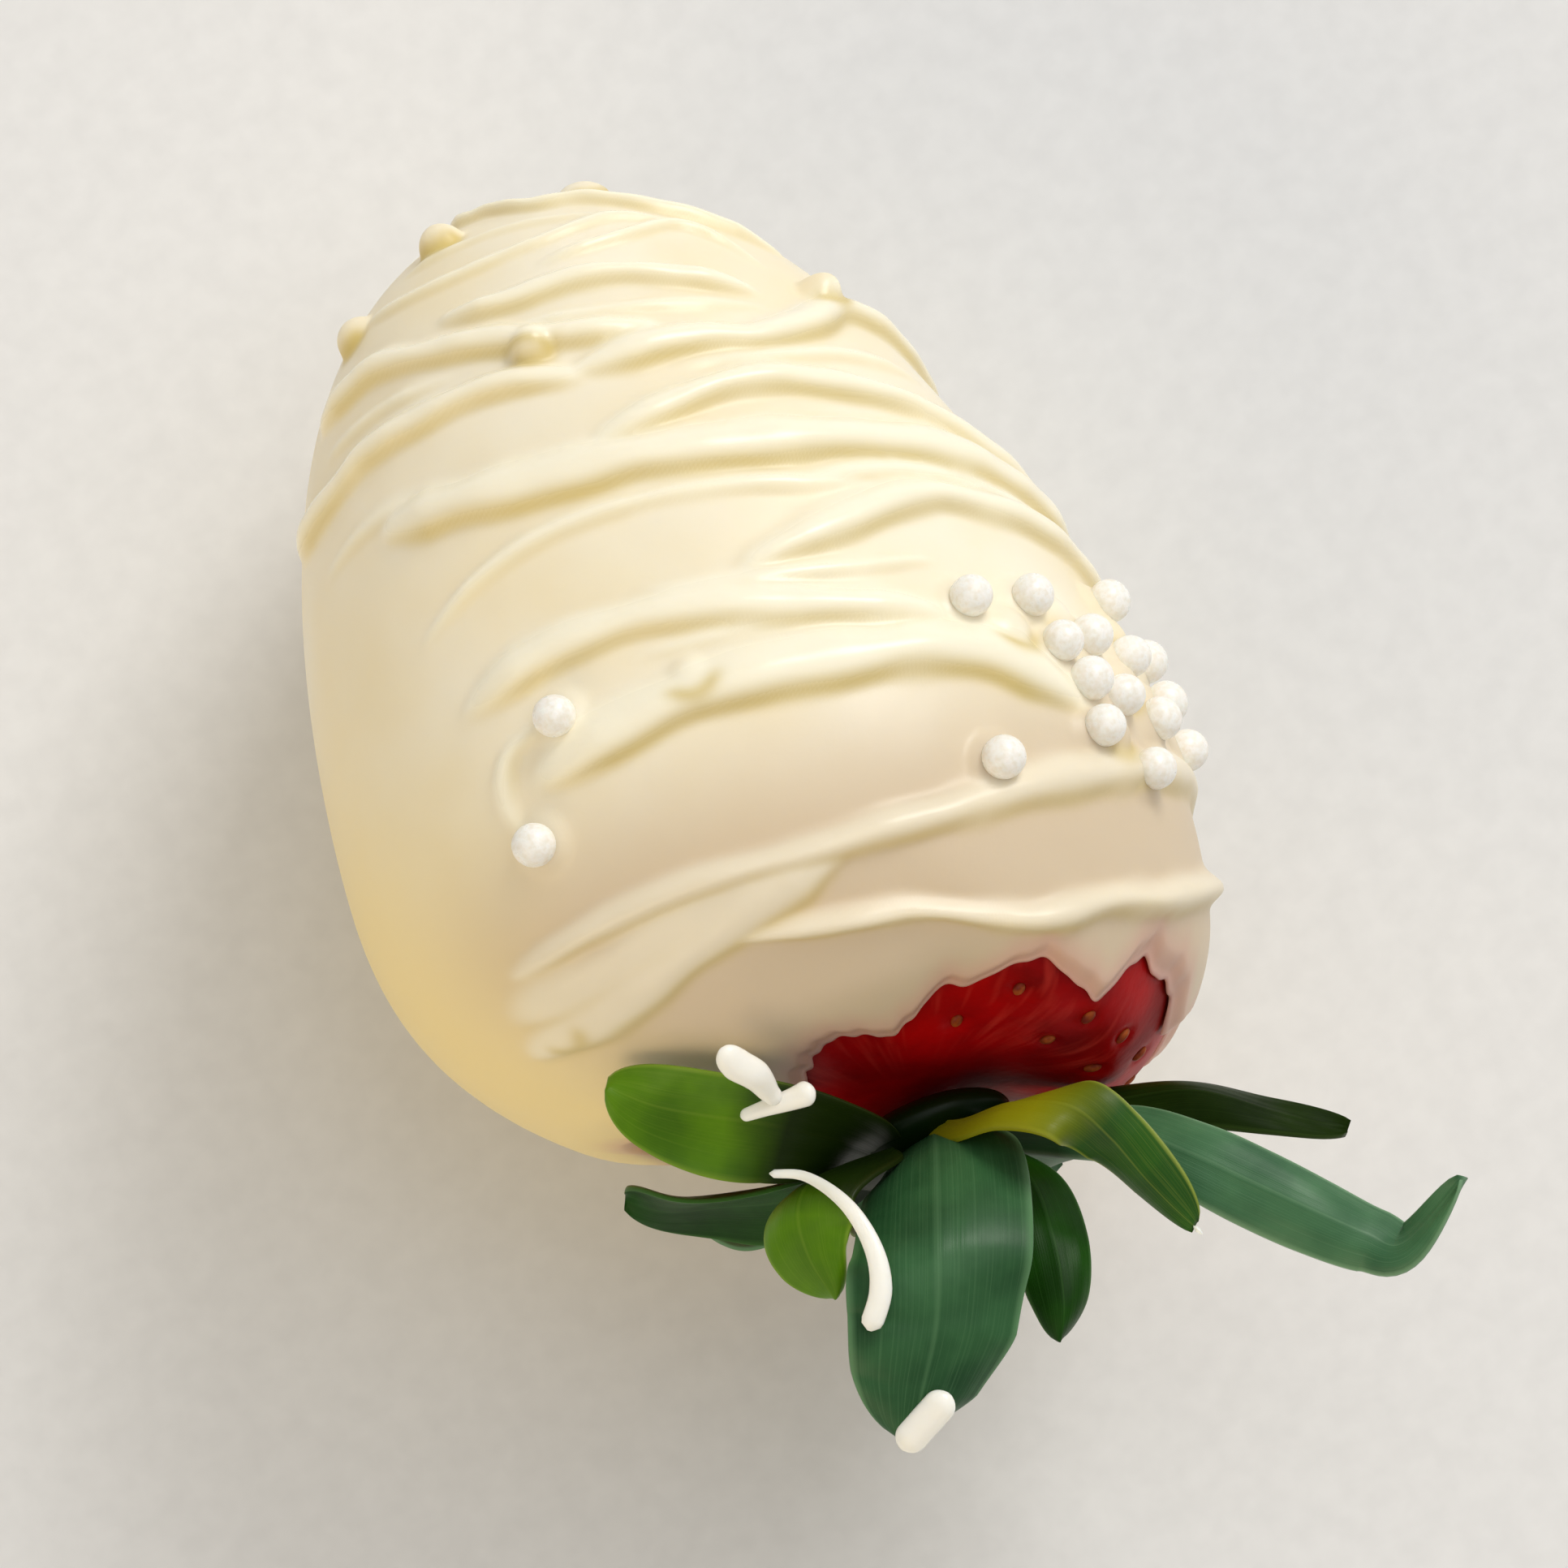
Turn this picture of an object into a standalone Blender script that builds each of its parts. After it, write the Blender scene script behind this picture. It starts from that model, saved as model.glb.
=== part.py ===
"""A large strawberry dipped in white chocolate, drizzled and dotted with sugar pearls, lying on its side.

Metres, +Z up. Its tip points along +Y and its leaves along -Y, and the drizzled side faces up.
The origin is the middle of the small flat foot, under the belly, on which it came to rest.
Every piece is first shaped upright, tip up along +Z, and is then laid down by its object's matrix.
Upright, a place on the berry is a turn round its axis, 0 at the right flank, 90 on the side that
will face up and 180 at the left flank, and a polar angle, 0 at the tip and 180 under the leaves.
"""
import math
from collections import namedtuple

import bmesh
import bpy
from mathutils import Matrix, Vector

MM = 0.001

# The dipped berry
HALF_LENGTH = 25.5 * MM
MIDDLE_HEIGHT = 0.5 * MM
WAIST_RADIUS = 18.9 * MM
SHOULDER_GAIN = 5.0 * MM
END_GAIN = 4.3 * MM
LEAN_FROM = -4.0 * MM
LEAN_RANGE = 20.0 * MM
LEAN_SHIFT = 1.5 * MM
LEAN_SLOPE = 0.12
HIP_DROP = 3.2 * MM
HIP_FROM, HIP_RANGE = -12.5 * MM, 10.0 * MM
HIP_SIDE, HIP_WIDTH = 2.5 * MM, 8.0 * MM

# The chocolate coat, and the flesh inside it
COAT_THICKNESS = 1.1 * MM
RIM_THICKNESS = 0.5 * MM
RIM_FADE = 12.0
RIM_POLAR = 151.0
RIM_TILT = 7.0
RIM_TILT_TURN = 125.0
RIM_TEETH = ((2.0, 9, 0.6), (1.2, 16, 2.1))
RIM_BAYS = ((53.0, 13.0, -7.5), (24.0, 17.0, -5.2), (99.0, 8.0, 3.0), (136.0, 22.0, 3.4))
COAT_TURNS, COAT_RINGS, COAT_OPEN_RING = 44, 24, 20
GAP = 0.3 * MM
FLESH_DEPTH = COAT_THICKNESS + GAP
SEED_LENGTH, SEED_WIDTH, SEED_THICKNESS = 1.3 * MM, 0.8 * MM, 0.5 * MM
SEED_ROWS = (154.0, 162.0)
SEED_SPACING = 4.2 * MM
SEED_CLEARANCE = 3.5
SEED_SINK = 0.12 * MM
FLESH_TURNS, FLESH_RINGS = 34, 20
SEED_TURNS, SEED_RINGS = 6, 4

# How it lies
NOSE_DROP = math.radians(9.0)
UNDERSIDE = 270.0
FOOT_CUT = 0.45 * MM

# The map on which the drizzle is drawn flat before it is wrapped round the coat
TURN_SIZE = 0.33 * MM
POLAR_SIZE = 0.42 * MM
DRIZZLE_SINK = 0.6 * MM
DRIZZLE_STEP = 3.2 * MM
ROUND_END = 1.6 * MM
END_SHARES = (0.45, 0.85)
SWELL, SWELL_STEP = 0.1, 1.7
WELD = 0.01 * MM

# A strand of drizzle: the turn and polar angle of its points, and its width and height in millimetres
Strand = namedtuple("Strand", "route width height")
STRANDS = (
    Strand(((118, 14), (93, 18), (76, 25), (60, 29), (42, 38), (22, 49)), 1.8, 0.7),
    Strand(((140, 34), (112, 37), (86, 38), (62, 37), (46, 42)), 1.3, 0.4),
    Strand(((86, 43), (67, 43), (49, 42), (41, 47), (38, 53)), 1.2, 0.5),
    Strand(((112, 45), (97, 48), (81, 49), (67, 52), (48, 58)), 2.0, 0.8),
    Strand(((156, 47), (133, 46), (119, 49), (103, 53), (91, 57), (72, 61)), 2.2, 0.9),
    Strand(((91, 63), (69, 64), (57, 66), (45, 65), (28, 62), (4, 66), (-26, 73)), 2.3, 0.9),
    Strand(((168, 61), (142, 59), (132, 58), (106, 60), (88, 64)), 2.0, 0.9),
    Strand(((92, 73), (75, 72), (63, 72), (52, 74), (30, 80), (2, 88), (-22, 94)), 2.1, 0.9),
    Strand(((133, 69), (107, 74), (82, 78), (57, 82), (29, 86), (-8, 93), (-38, 101)), 2.8, 1.0),
    Strand(((130, 85), (117, 82), (105, 81), (91, 82), (77, 84), (54, 89)), 1.2, 0.5),
    Strand(((80, 94), (67, 93), (49, 91), (39, 92), (14, 96), (-10, 102), (-33, 107)), 2.2, 0.9),
    Strand(((95, 92), (84, 95), (65, 98), (52, 99)), 1.1, 0.5),
    Strand(((126, 95), (110, 94), (92, 96), (70, 102), (54, 106)), 2.4, 0.9),
    Strand(((118, 106), (95, 106), (74, 108), (52, 111), (37, 118)), 2.6, 1.0),
    Strand(((124, 113), (125, 107), (121, 102), (111, 101)), 1.3, 0.5),
    Strand(((142, 126), (112, 127), (84, 129), (54, 126.5), (24, 124.5), (-4, 122), (-27, 124)), 1.9, 0.8),
    Strand(((155, 135), (134, 137), (108, 134), (84, 129)), 3.4, 0.6),
    Strand(((108, 136), (88, 139), (65.5, 140), (44.5, 137.5), (25.5, 136.5), (-10, 130.5)), 1.5, 0.9),
)

# Sugar pearls by turn and polar angle, with how far each one's middle stands off the coat in
# millimetres; the last five are covered by chocolate
PEARL_RADIUS = 1.05 * MM
PEARL_TURNS, PEARL_RINGS = 7, 5
Pearl = namedtuple("Pearl", "turn polar stand")
PEARLS = (
    Pearl(112, 101.5, 0.7), Pearl(123, 113.5, 0.7), Pearl(58, 123.5, 0.7), Pearl(51, 105, 0.8),
    Pearl(39.5, 105.5, 0.8), Pearl(15, 104, 0.8), Pearl(38, 111, 0.7), Pearl(30, 110, 0.7),
    Pearl(36, 115.5, 0.8), Pearl(29, 117, 0.7), Pearl(37.5, 121, 0.8), Pearl(11, 115.5, 0.8),
    Pearl(28, 125, 0.8), Pearl(20, 111.5, 0.7), Pearl(4, 109, 0.7), Pearl(2, 119, 0.7),
    Pearl(-15, 112, 0.6), Pearl(18.5, 118.5, 0.7), Pearl(93, 104, -0.3), Pearl(113, 24, 0.1),
    Pearl(95, 57, 0.2), Pearl(32, 59.5, 0.4), Pearl(148, 34, -0.1),
)

# The green top. A leaf has points of its middle line, a half width in millimetres, and the angles
# by which its blade is rolled about that line at the base and at the tip
CALYX_RADIUS = 4.5 * MM
CALYX_HALF_THICKNESS = 1.5 * MM
CALYX_TURNS, CALYX_RINGS = 16, 8
STALK_RADIUS = 1.4 * MM
STALK_LENGTH = 3.5 * MM
STALK_SIDES = 12
LEAF_THICKNESS = 0.55 * MM
LEAF_HEIGHT = 1.7 * MM
LEAF_CUP = 0.28
LEAF_RIPPLE = 0.35 * MM
LEAF_ROWS, LEAF_COLUMNS = 7, 4
LINE_POINTS = 60

SHARP_EDGE = math.radians(50)
CUTTER_SIZE = 30.0 * MM


def clear_scene():
    """Removes whatever the new file holds."""
    for thing in list(bpy.data.objects):
        bpy.data.objects.remove(thing, do_unlink=True)


def collection(name):
    """A new collection in the scene."""
    group = bpy.data.collections.new(name)
    bpy.context.scene.collection.children.link(group)
    return group


def material(name, colour, roughness):
    """A Principled material of one colour."""
    finish = bpy.data.materials.new(name)
    finish.use_nodes = True
    shader = finish.node_tree.nodes["Principled BSDF"]
    shader.inputs["Base Color"].default_value = (*colour, 1.0)
    shader.inputs["Roughness"].default_value = roughness
    shader.inputs["Metallic"].default_value = 0.0
    return finish


def smooth(value):
    """Rises gently from 0 to 1 as the value does."""
    value = min(max(value, 0.0), 1.0)
    return value * value * (3.0 - 2.0 * value)


def skin(turn, polar):
    """Point of the smooth outside of the dipped berry, without its drizzle."""
    turn, polar = math.radians(turn), math.radians(polar)
    along, out = math.cos(polar), math.sin(polar)
    radius = (WAIST_RADIUS - SHOULDER_GAIN * along + END_GAIN * along * along) * out
    x, y = radius * math.cos(turn), -radius * math.sin(turn)
    z = MIDDLE_HEIGHT + HALF_LENGTH * along
    lean = smooth((LEAN_FROM - z) / LEAN_RANGE)
    hip = smooth((HIP_FROM - z) / HIP_RANGE) * smooth((x - HIP_SIDE) / HIP_WIDTH)
    return Vector((x + LEAN_SHIFT * lean, y, z - LEAN_SLOPE * x * lean - HIP_DROP * hip))


def outward(turn, polar):
    """Unit normal of the smooth outside."""
    polar = min(max(polar, 1.0), 179.0)
    down = skin(turn, polar + 0.5) - skin(turn, polar - 0.5)
    across = skin(turn + 0.5, polar) - skin(turn - 0.5, polar)
    return down.cross(across).normalized() * -1.0


def over(turn, polar, height):
    """Point that stands a height above the smooth outside, or below it where that is negative."""
    return skin(turn, polar) + outward(turn, polar) * height


def behind(turn, radius, back):
    """Point behind the leaves' middle, by its turn, and its distance out and back in millimetres."""
    middle = skin(0.0, 180.0)
    angle = math.radians(turn)
    return middle + Vector((radius * math.cos(angle), -radius * math.sin(angle), -back)) * MM


def spread(points, count):
    """Points evenly numbered along a smooth curve through the given ones."""
    points = [Vector(point) for point in points]
    ends = [points[0] * 2 - points[1]] + points + [points[-1] * 2 - points[-2]]
    path = []
    for index in range(count):
        place = index * (len(points) - 1) / (count - 1)
        span = min(int(place), len(points) - 2)
        part = place - span
        before, first, second, after = ends[span:span + 4]
        path.append(0.5 * (2 * first + (second - before) * part
                           + (2 * before - 5 * first + 4 * second - after) * part ** 2
                           + (3 * first - before - 3 * second + after) * part ** 3))
    return path


def new_object(name, shape, group):
    """An object in the group from a bmesh, which is freed."""
    mesh = bpy.data.meshes.new(name)
    shape.to_mesh(mesh)
    shape.free()
    thing = bpy.data.objects.new(name, mesh)
    group.objects.link(thing)
    return thing


def settle(thing):
    """Makes the object's modifiers part of its mesh."""
    depsgraph = bpy.context.evaluated_depsgraph_get()
    mesh = bpy.data.meshes.new_from_object(thing.evaluated_get(depsgraph))
    thing.modifiers.clear()
    thing.data = mesh


def fuse(thing, group, solver="EXACT"):
    """Joins every object of the group to this one, as one solid, and removes the group."""
    union = thing.modifiers.new("Join", "BOOLEAN")
    union.operation = "UNION"
    union.operand_type = "COLLECTION"
    union.collection = group
    union.solver = solver
    settle(thing)
    for piece in list(group.objects):
        bpy.data.objects.remove(piece, do_unlink=True)
    bpy.data.collections.remove(group)


def thicken(thing, thickness, offset):
    """Gives an open surface its thickness."""
    wall = thing.modifiers.new("Wall", "SOLIDIFY")
    wall.thickness = thickness
    wall.offset = offset
    return wall


def rim(turn):
    """Polar angle at which the coat ends, toothed, lower round the left flank and drawn up in bays."""
    edge = RIM_POLAR + RIM_TILT * math.cos(math.radians(turn - RIM_TILT_TURN))
    for size, count, start in RIM_TEETH:
        edge += size * math.sin(math.radians(turn) * count + start)
    for middle, reach, depth in RIM_BAYS:
        away = (turn - middle + 180.0) % 360.0 - 180.0
        edge += depth * math.exp(-((away / reach) ** 4))
    return edge


def ball_place(vertex):
    """Turn and polar angle of a vertex of a ball about the origin."""
    polar = math.degrees(math.acos(max(-1.0, min(1.0, vertex.co.z / vertex.co.length))))
    return math.degrees(math.atan2(-vertex.co.y, vertex.co.x)), polar


def coat_wall(group):
    """The dipped coat: a ball opened below its rim, drawn onto the berry and given its thickness."""
    shape = bmesh.new()
    bmesh.ops.create_uvsphere(shape, u_segments=COAT_TURNS, v_segments=COAT_RINGS, radius=1.0)
    last = 180.0 / COAT_RINGS * COAT_OPEN_RING
    spare = [vertex for vertex in shape.verts if ball_place(vertex)[1] > last + 1.0]
    bmesh.ops.delete(shape, geom=spare, context="VERTS")
    wall_shares = []
    for vertex in shape.verts:
        turn, polar = ball_place(vertex)
        polar += (rim(turn) - last) * smooth((polar - 90.0) / (last - 90.0))
        full = smooth((rim(turn) - polar) / RIM_FADE)
        vertex.co = over(turn, polar, -(COAT_THICKNESS - RIM_THICKNESS) * (1.0 - full))
        wall_shares.append(full)
    coat = new_object("chocolate_shell", shape, group)
    shares = coat.vertex_groups.new(name="wall")
    for index, share in enumerate(wall_shares):
        shares.add([index], share, "REPLACE")
    wall = thicken(coat, COAT_THICKNESS, -1.0)
    wall.vertex_group = shares.name
    wall.thickness_vertex_group = RIM_THICKNESS / COAT_THICKNESS
    settle(coat)
    return coat


def strand(index, line, group):
    """One strand of drizzle, drawn as a tube on the flat map and wrapped onto the coat."""
    route = [(turn * TURN_SIZE, polar * POLAR_SIZE, 0.0) for turn, polar in line.route]
    length = sum((Vector(b) - Vector(a)).length for a, b in zip(route, route[1:]))
    path = spread(route, max(5, round(length / DRIZZLE_STEP)))
    path[1] = path[0].lerp(path[1], min(1.0, 0.5 * ROUND_END / (path[1] - path[0]).length))
    path[-2] = path[-1].lerp(path[-2], min(1.0, 0.5 * ROUND_END / (path[-2] - path[-1]).length))
    curve = bpy.data.curves.new("strand", "CURVE")
    curve.dimensions = "3D"
    curve.bevel_depth = line.width / 2 * MM
    curve.bevel_resolution = 2
    curve.use_fill_caps = True
    curve.twist_mode = "Z_UP"
    spline = curve.splines.new("POLY")
    spline.points.add(len(path) - 1)
    for number, point in enumerate(path):
        spline.points[number].co = (*point, 1.0)
        near_end = min(number, len(path) - 1 - number)
        swell = SWELL * math.sin(SWELL_STEP * number + index)
        spline.points[number].radius = END_SHARES[near_end] if near_end < 2 else 1.0 + swell
    drawn = bpy.data.objects.new("strand", curve)
    group.objects.link(drawn)
    depsgraph = bpy.context.evaluated_depsgraph_get()
    mesh = bpy.data.meshes.new_from_object(drawn.evaluated_get(depsgraph))
    bpy.data.objects.remove(drawn, do_unlink=True)
    shape = bmesh.new()
    shape.from_mesh(mesh)
    bmesh.ops.remove_doubles(shape, verts=shape.verts, dist=WELD)
    half = (line.height * MM + DRIZZLE_SINK) / 2
    for vertex in shape.verts:
        height = vertex.co.z * half / (line.width / 2 * MM) + half - DRIZZLE_SINK
        vertex.co = over(vertex.co.x / TURN_SIZE, vertex.co.y / POLAR_SIZE, height)
    bmesh.ops.recalc_face_normals(shape, faces=shape.faces)
    return new_object(f"strand_{index}", shape, group)


def pearl(index, bead, group):
    """One sugar pearl, part sunk in the chocolate."""
    shape = bmesh.new()
    bmesh.ops.create_uvsphere(shape, u_segments=PEARL_TURNS, v_segments=PEARL_RINGS, radius=PEARL_RADIUS)
    bmesh.ops.translate(shape, verts=shape.verts, vec=over(bead.turn, bead.polar, bead.stand * MM))
    return new_object(f"pearl_{index}", shape, group)


def make_coat(group):
    """The white chocolate: the coat with its drizzle and pearls as one solid."""
    coat = coat_wall(group)
    toppings = collection("toppings")
    for index, line in enumerate(STRANDS):
        strand(index, line, toppings)
    for index, bead in enumerate(PEARLS):
        pearl(index, bead, toppings)
    fuse(coat, toppings)
    return coat


def seed(index, turn, polar, group):
    """One seed, lying in the flesh along the berry."""
    up = outward(turn, polar)
    down = (skin(turn, polar + 1.0) - skin(turn, polar - 1.0)).normalized()
    frame = Matrix((down, up.cross(down), up)).transposed().to_4x4()
    frame.translation = over(turn, polar, -FLESH_DEPTH - SEED_SINK)
    size = Matrix.Diagonal((SEED_LENGTH / 2, SEED_WIDTH / 2, SEED_THICKNESS / 2, 1.0))
    shape = bmesh.new()
    bmesh.ops.create_uvsphere(shape, u_segments=SEED_TURNS, v_segments=SEED_RINGS, radius=1.0,
                              matrix=frame @ size)
    return new_object(f"seed_{index}", shape, group)


def make_berry(group):
    """The solid flesh inside the coat, with the seeds of its bare shoulder."""
    shape = bmesh.new()
    bmesh.ops.create_uvsphere(shape, u_segments=FLESH_TURNS, v_segments=FLESH_RINGS, radius=1.0)
    for vertex in shape.verts:
        turn, polar = ball_place(vertex)
        vertex.co = over(turn, polar, -FLESH_DEPTH)
    berry = new_object("berry", shape, group)
    seeds = collection("seeds")
    for row, polar in enumerate(SEED_ROWS):
        ring = (skin(0.0, polar) - skin(180.0, polar)).length * math.pi
        count = round(ring / SEED_SPACING)
        for number in range(count):
            turn = 360.0 * (number + 0.5 * (row % 2)) / count
            if polar > rim(turn) + SEED_CLEARANCE:
                seed(len(seeds.objects), turn, polar, seeds)
    fuse(berry, seeds)
    return berry


def lying(turn, polar):
    """Point of a leaf that lies over the coat."""
    return over(turn, polar, LEAF_HEIGHT)


Leaf = namedtuple("Leaf", "route half_width roll_base roll_tip")
LEAVES = (
    Leaf((behind(165, 2, 0.8), lying(122, 166), lying(129, 159), lying(136, 153.5), lying(140, 148),
          lying(142, 142.5)), 2.8, 10, 20),
    Leaf((behind(112, 4.9, 1.8), behind(126, 7.4, 2), behind(132, 9.4, 2.6), behind(136, 10.3, 3.9),
          behind(138.5, 10.3, 5.6), behind(140.5, 9.4, 7.6)), 2.4, -20, -40),
    Leaf((behind(93, 1.5, 0.6), behind(85, 3.5, 1.6), behind(92, 6.5, 3.6), behind(102, 9.7, 8.2),
          behind(112, 9.7, 11.6), behind(126, 9.3, 13.8), behind(139.5, 9.3, 15.2)), 4.2, 0, -10),
    Leaf((behind(50, 1, 1), behind(47, 3.5, 3), behind(50, 5.6, 5.6), behind(58, 6.4, 8.8),
          behind(64, 6, 11.6), behind(69, 4.8, 13.4)), 1.8, 10, 30),
    Leaf((behind(80, 2, 0.5), behind(70.5, 5.3, 2), behind(62.5, 9, 2.9), behind(56, 11.4, 4.4),
          behind(48, 11.5, 6.4), behind(36.5, 11, 8.6), behind(24.5, 10.9, 10.8)), 1.7, 0, 60),
    Leaf((behind(22, 2, 1.2), behind(14.5, 6.1, 3), behind(18.5, 9.4, 4.8), behind(19.5, 11.9, 7.4),
          behind(16, 13.8, 9.8), behind(12, 15.7, 12.1), behind(8, 17.6, 14.1), behind(9.5, 19.1, 15.3),
          behind(14, 23, 14)), 1.9, 65, 80),
    Leaf((behind(0, 2, 0.8), behind(0, 5.8, 1.5), behind(3, 9.3, 2.7), behind(4.5, 12.7, 4),
          behind(4, 15.7, 6.1), behind(0, 18.9, 8.1)), 1.7, 50, 60),
    Leaf((behind(188, 2, 0.6), lying(192, 165), lying(194, 157), lying(195, 149)), 2.9, 10, 15),
    Leaf((behind(224, 2, 0.6), lying(226, 165), lying(228, 156), lying(229, 147)), 3.0, 0, -10),
    Leaf((behind(262, 2, 0.7), lying(262, 165), lying(264, 156), lying(262, 147)), 3.0, 0, 10),
    Leaf((behind(306, 2, 0.7), lying(304, 165), lying(302, 156), lying(300, 148)), 2.8, 0, -10),
)


def blade_width(share):
    """Half width of a leaf's blade at a share of its length, as a share of its widest."""
    return 2.2 * (share + 0.03) ** 0.6 * (1.003 - share) ** 0.55


def leaf(index, blade, group):
    """One leaf: a flat grid bent along its middle line, split into triangles and given its thickness."""
    shape = bmesh.new()
    bmesh.ops.create_grid(shape, x_segments=LEAF_COLUMNS, y_segments=LEAF_ROWS, size=0.5)
    line = spread(blade.route, LINE_POINTS)
    last = LINE_POINTS - 1
    facing = blade.route[2] - blade.route[0]
    around = Vector((0.0, 0.0, 1.0)).cross(Vector((facing.x, facing.y, 0.0))).normalized()
    for vertex in shape.verts:
        across, share = 2 * vertex.co.x, vertex.co.y + 0.5
        place = round(share * last)
        heading = (line[min(place + 1, last)] - line[max(place - 1, 0)]).normalized()
        roll = math.radians(blade.roll_base + (blade.roll_tip - blade.roll_base) * share)
        side = (around - heading * around.dot(heading)).normalized()
        side.rotate(Matrix.Rotation(roll, 3, heading))
        lift = side.cross(heading)
        width = blade.half_width * MM * blade_width(share)
        ripple = LEAF_RIPPLE * math.sin(9.0 * share + 2.0 * across + index) * share
        vertex.co = line[place] + side * across * width + lift * (LEAF_CUP * width * across ** 2 + ripple)
    bmesh.ops.triangulate(shape, faces=shape.faces)
    thing = new_object(f"leaf_{index}", shape, group)
    thicken(thing, LEAF_THICKNESS, 0.0)
    settle(thing)
    return thing


def make_calyx(group):
    """The green top: a flat cap with a cut stalk, and its leaves, as one solid."""
    cap = skin(0.0, 180.0) + Vector((0.0, 0.0, FLESH_DEPTH - GAP - CALYX_HALF_THICKNESS))
    size = Matrix.Diagonal((CALYX_RADIUS, CALYX_RADIUS, CALYX_HALF_THICKNESS, 1.0))
    flat = Matrix.Translation(cap) @ size
    shape = bmesh.new()
    bmesh.ops.create_uvsphere(shape, u_segments=CALYX_TURNS, v_segments=CALYX_RINGS, radius=1.0,
                              matrix=flat)
    calyx = new_object("calyx", shape, group)
    green = collection("green")
    for index, blade in enumerate(LEAVES):
        leaf(index, blade, green)
    stalk = bmesh.new()
    place = Matrix.Translation(cap - Vector((0.0, 0.0, STALK_LENGTH / 2)))
    bmesh.ops.create_cone(stalk, cap_ends=True, segments=STALK_SIDES, radius1=STALK_RADIUS,
                          radius2=STALK_RADIUS, depth=STALK_LENGTH, matrix=place)
    new_object("stalk", stalk, green)
    fuse(calyx, green, "MANIFOLD")
    return calyx


def laid_down():
    """Matrix that lays the upright berry on its side, nose dropped, with its foot's middle at the origin."""
    turned = Matrix.Rotation(-math.pi / 2 - NOSE_DROP, 4, "X")
    spots = (turned @ skin(UNDERSIDE, polar) for polar in range(40, 150))
    lowest = min(spots, key=lambda point: point.z)
    return Matrix.Translation((-lowest.x, -lowest.y, -lowest.z - FOOT_CUT)) @ turned


def cut_foot(coat, cutters):
    """Flattens the coat where it rests."""
    shape = bmesh.new()
    below = Matrix.Translation((0.0, 0.0, -CUTTER_SIZE / 2))
    bmesh.ops.create_cube(shape, size=CUTTER_SIZE, matrix=below)
    ground = new_object("ground", shape, cutters)
    ground.hide_render = True
    ground.display_type = "WIRE"
    cut = coat.modifiers.new("Foot", "BOOLEAN")
    cut.operation = "DIFFERENCE"
    cut.object = ground


def main():
    """Builds the strawberry."""
    clear_scene()
    strawberry = collection("strawberry")
    cutters = collection("cutters")
    finishes = {
        "chocolate_shell": material("white chocolate", (0.86, 0.76, 0.53), 0.3),
        "berry": material("strawberry flesh", (0.45, 0.005, 0.01), 0.35),
        "calyx": material("strawberry leaf", (0.03, 0.12, 0.04), 0.4),
    }
    pieces = (make_coat(strawberry), make_berry(strawberry), make_calyx(strawberry))
    for piece in pieces:
        piece.data.materials.clear()
        piece.data.materials.append(finishes[piece.name])
        piece.data.shade_smooth()
        piece.data.set_sharp_from_angle(angle=SHARP_EDGE)
        piece.matrix_world = laid_down()
    cut_foot(pieces[0], cutters)


main()
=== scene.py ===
"""Fine shapes and finishes of a strawberry dipped in white chocolate, with drizzle and sugar pearls.

Every piece is first shaped upright, tip up along +Z, and is then laid on its side as the solids lie.
Upright, a place is a turn round the berry, 0 at the right flank, 90 on the side that faces up and
180 at the left flank, and a polar angle, 0 at the tip and 180 under the leaves, both in degrees.
"""

import logging
import math
from dataclasses import dataclass
from enum import Enum
from typing import Any

import bpy
import numpy as np
from bpy.types import Material, Node, NodeSocket, NodeTree, Object
from mathutils import Matrix, Vector


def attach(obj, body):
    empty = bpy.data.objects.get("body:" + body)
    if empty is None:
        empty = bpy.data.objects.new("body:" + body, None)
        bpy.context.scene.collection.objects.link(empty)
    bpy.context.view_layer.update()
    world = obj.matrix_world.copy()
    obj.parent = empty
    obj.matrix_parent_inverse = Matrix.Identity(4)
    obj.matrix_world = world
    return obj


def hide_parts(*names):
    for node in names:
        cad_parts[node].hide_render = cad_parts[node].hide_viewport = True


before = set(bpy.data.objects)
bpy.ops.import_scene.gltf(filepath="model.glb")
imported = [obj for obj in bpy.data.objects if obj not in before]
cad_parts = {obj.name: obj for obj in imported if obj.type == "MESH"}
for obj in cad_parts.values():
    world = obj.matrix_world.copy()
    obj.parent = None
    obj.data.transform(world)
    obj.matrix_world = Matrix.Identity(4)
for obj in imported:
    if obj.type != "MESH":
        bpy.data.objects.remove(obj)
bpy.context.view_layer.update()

MM = 0.001
LOG = logging.getLogger("strawberry")

Array = np.ndarray
Route = tuple[tuple[float, ...], ...]
Waves = tuple[tuple[float, float, float], ...]

PEARL_RADIUS_MM = 1.05


def linear(colour: str) -> tuple[float, float, float, float]:
    """Turns an sRGB hex colour to linear light.

    Args:
        colour: Six hex digits after a hash mark.

    Returns:
        Linear red, green and blue, with full alpha.
    """
    parts = [int(colour[start:start + 2], 16) / 255 for start in (1, 3, 5)]
    red, green, blue = (part / 12.92 if part <= 0.04045 else ((part + 0.055) / 1.055) ** 2.4
                        for part in parts)
    return red, green, blue, 1.0


def per_metre(size_mm: float) -> float:
    """Texture scale at which a pattern repeats once in this many millimetres."""
    return 1.0 / (size_mm * MM)


def smooth(value: Array | float) -> Array:
    """Rises gently from 0 to 1 as the value does."""
    value = np.clip(value, 0.0, 1.0)
    return value * value * (3.0 - 2.0 * value)


def unit(vectors: Array) -> Array:
    """Brings vectors to length 1; their parts lie in the last axis."""
    return vectors / np.linalg.norm(vectors, axis=-1, keepdims=True)


def waves(place: Array | float, parts: Waves, times: float = 1.0) -> Array:
    """Adds up sine waves, each a height, a rate and a start that counts this many times."""
    return sum(height * np.sin(rate * place + start * times) for height, rate, start in parts)


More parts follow.
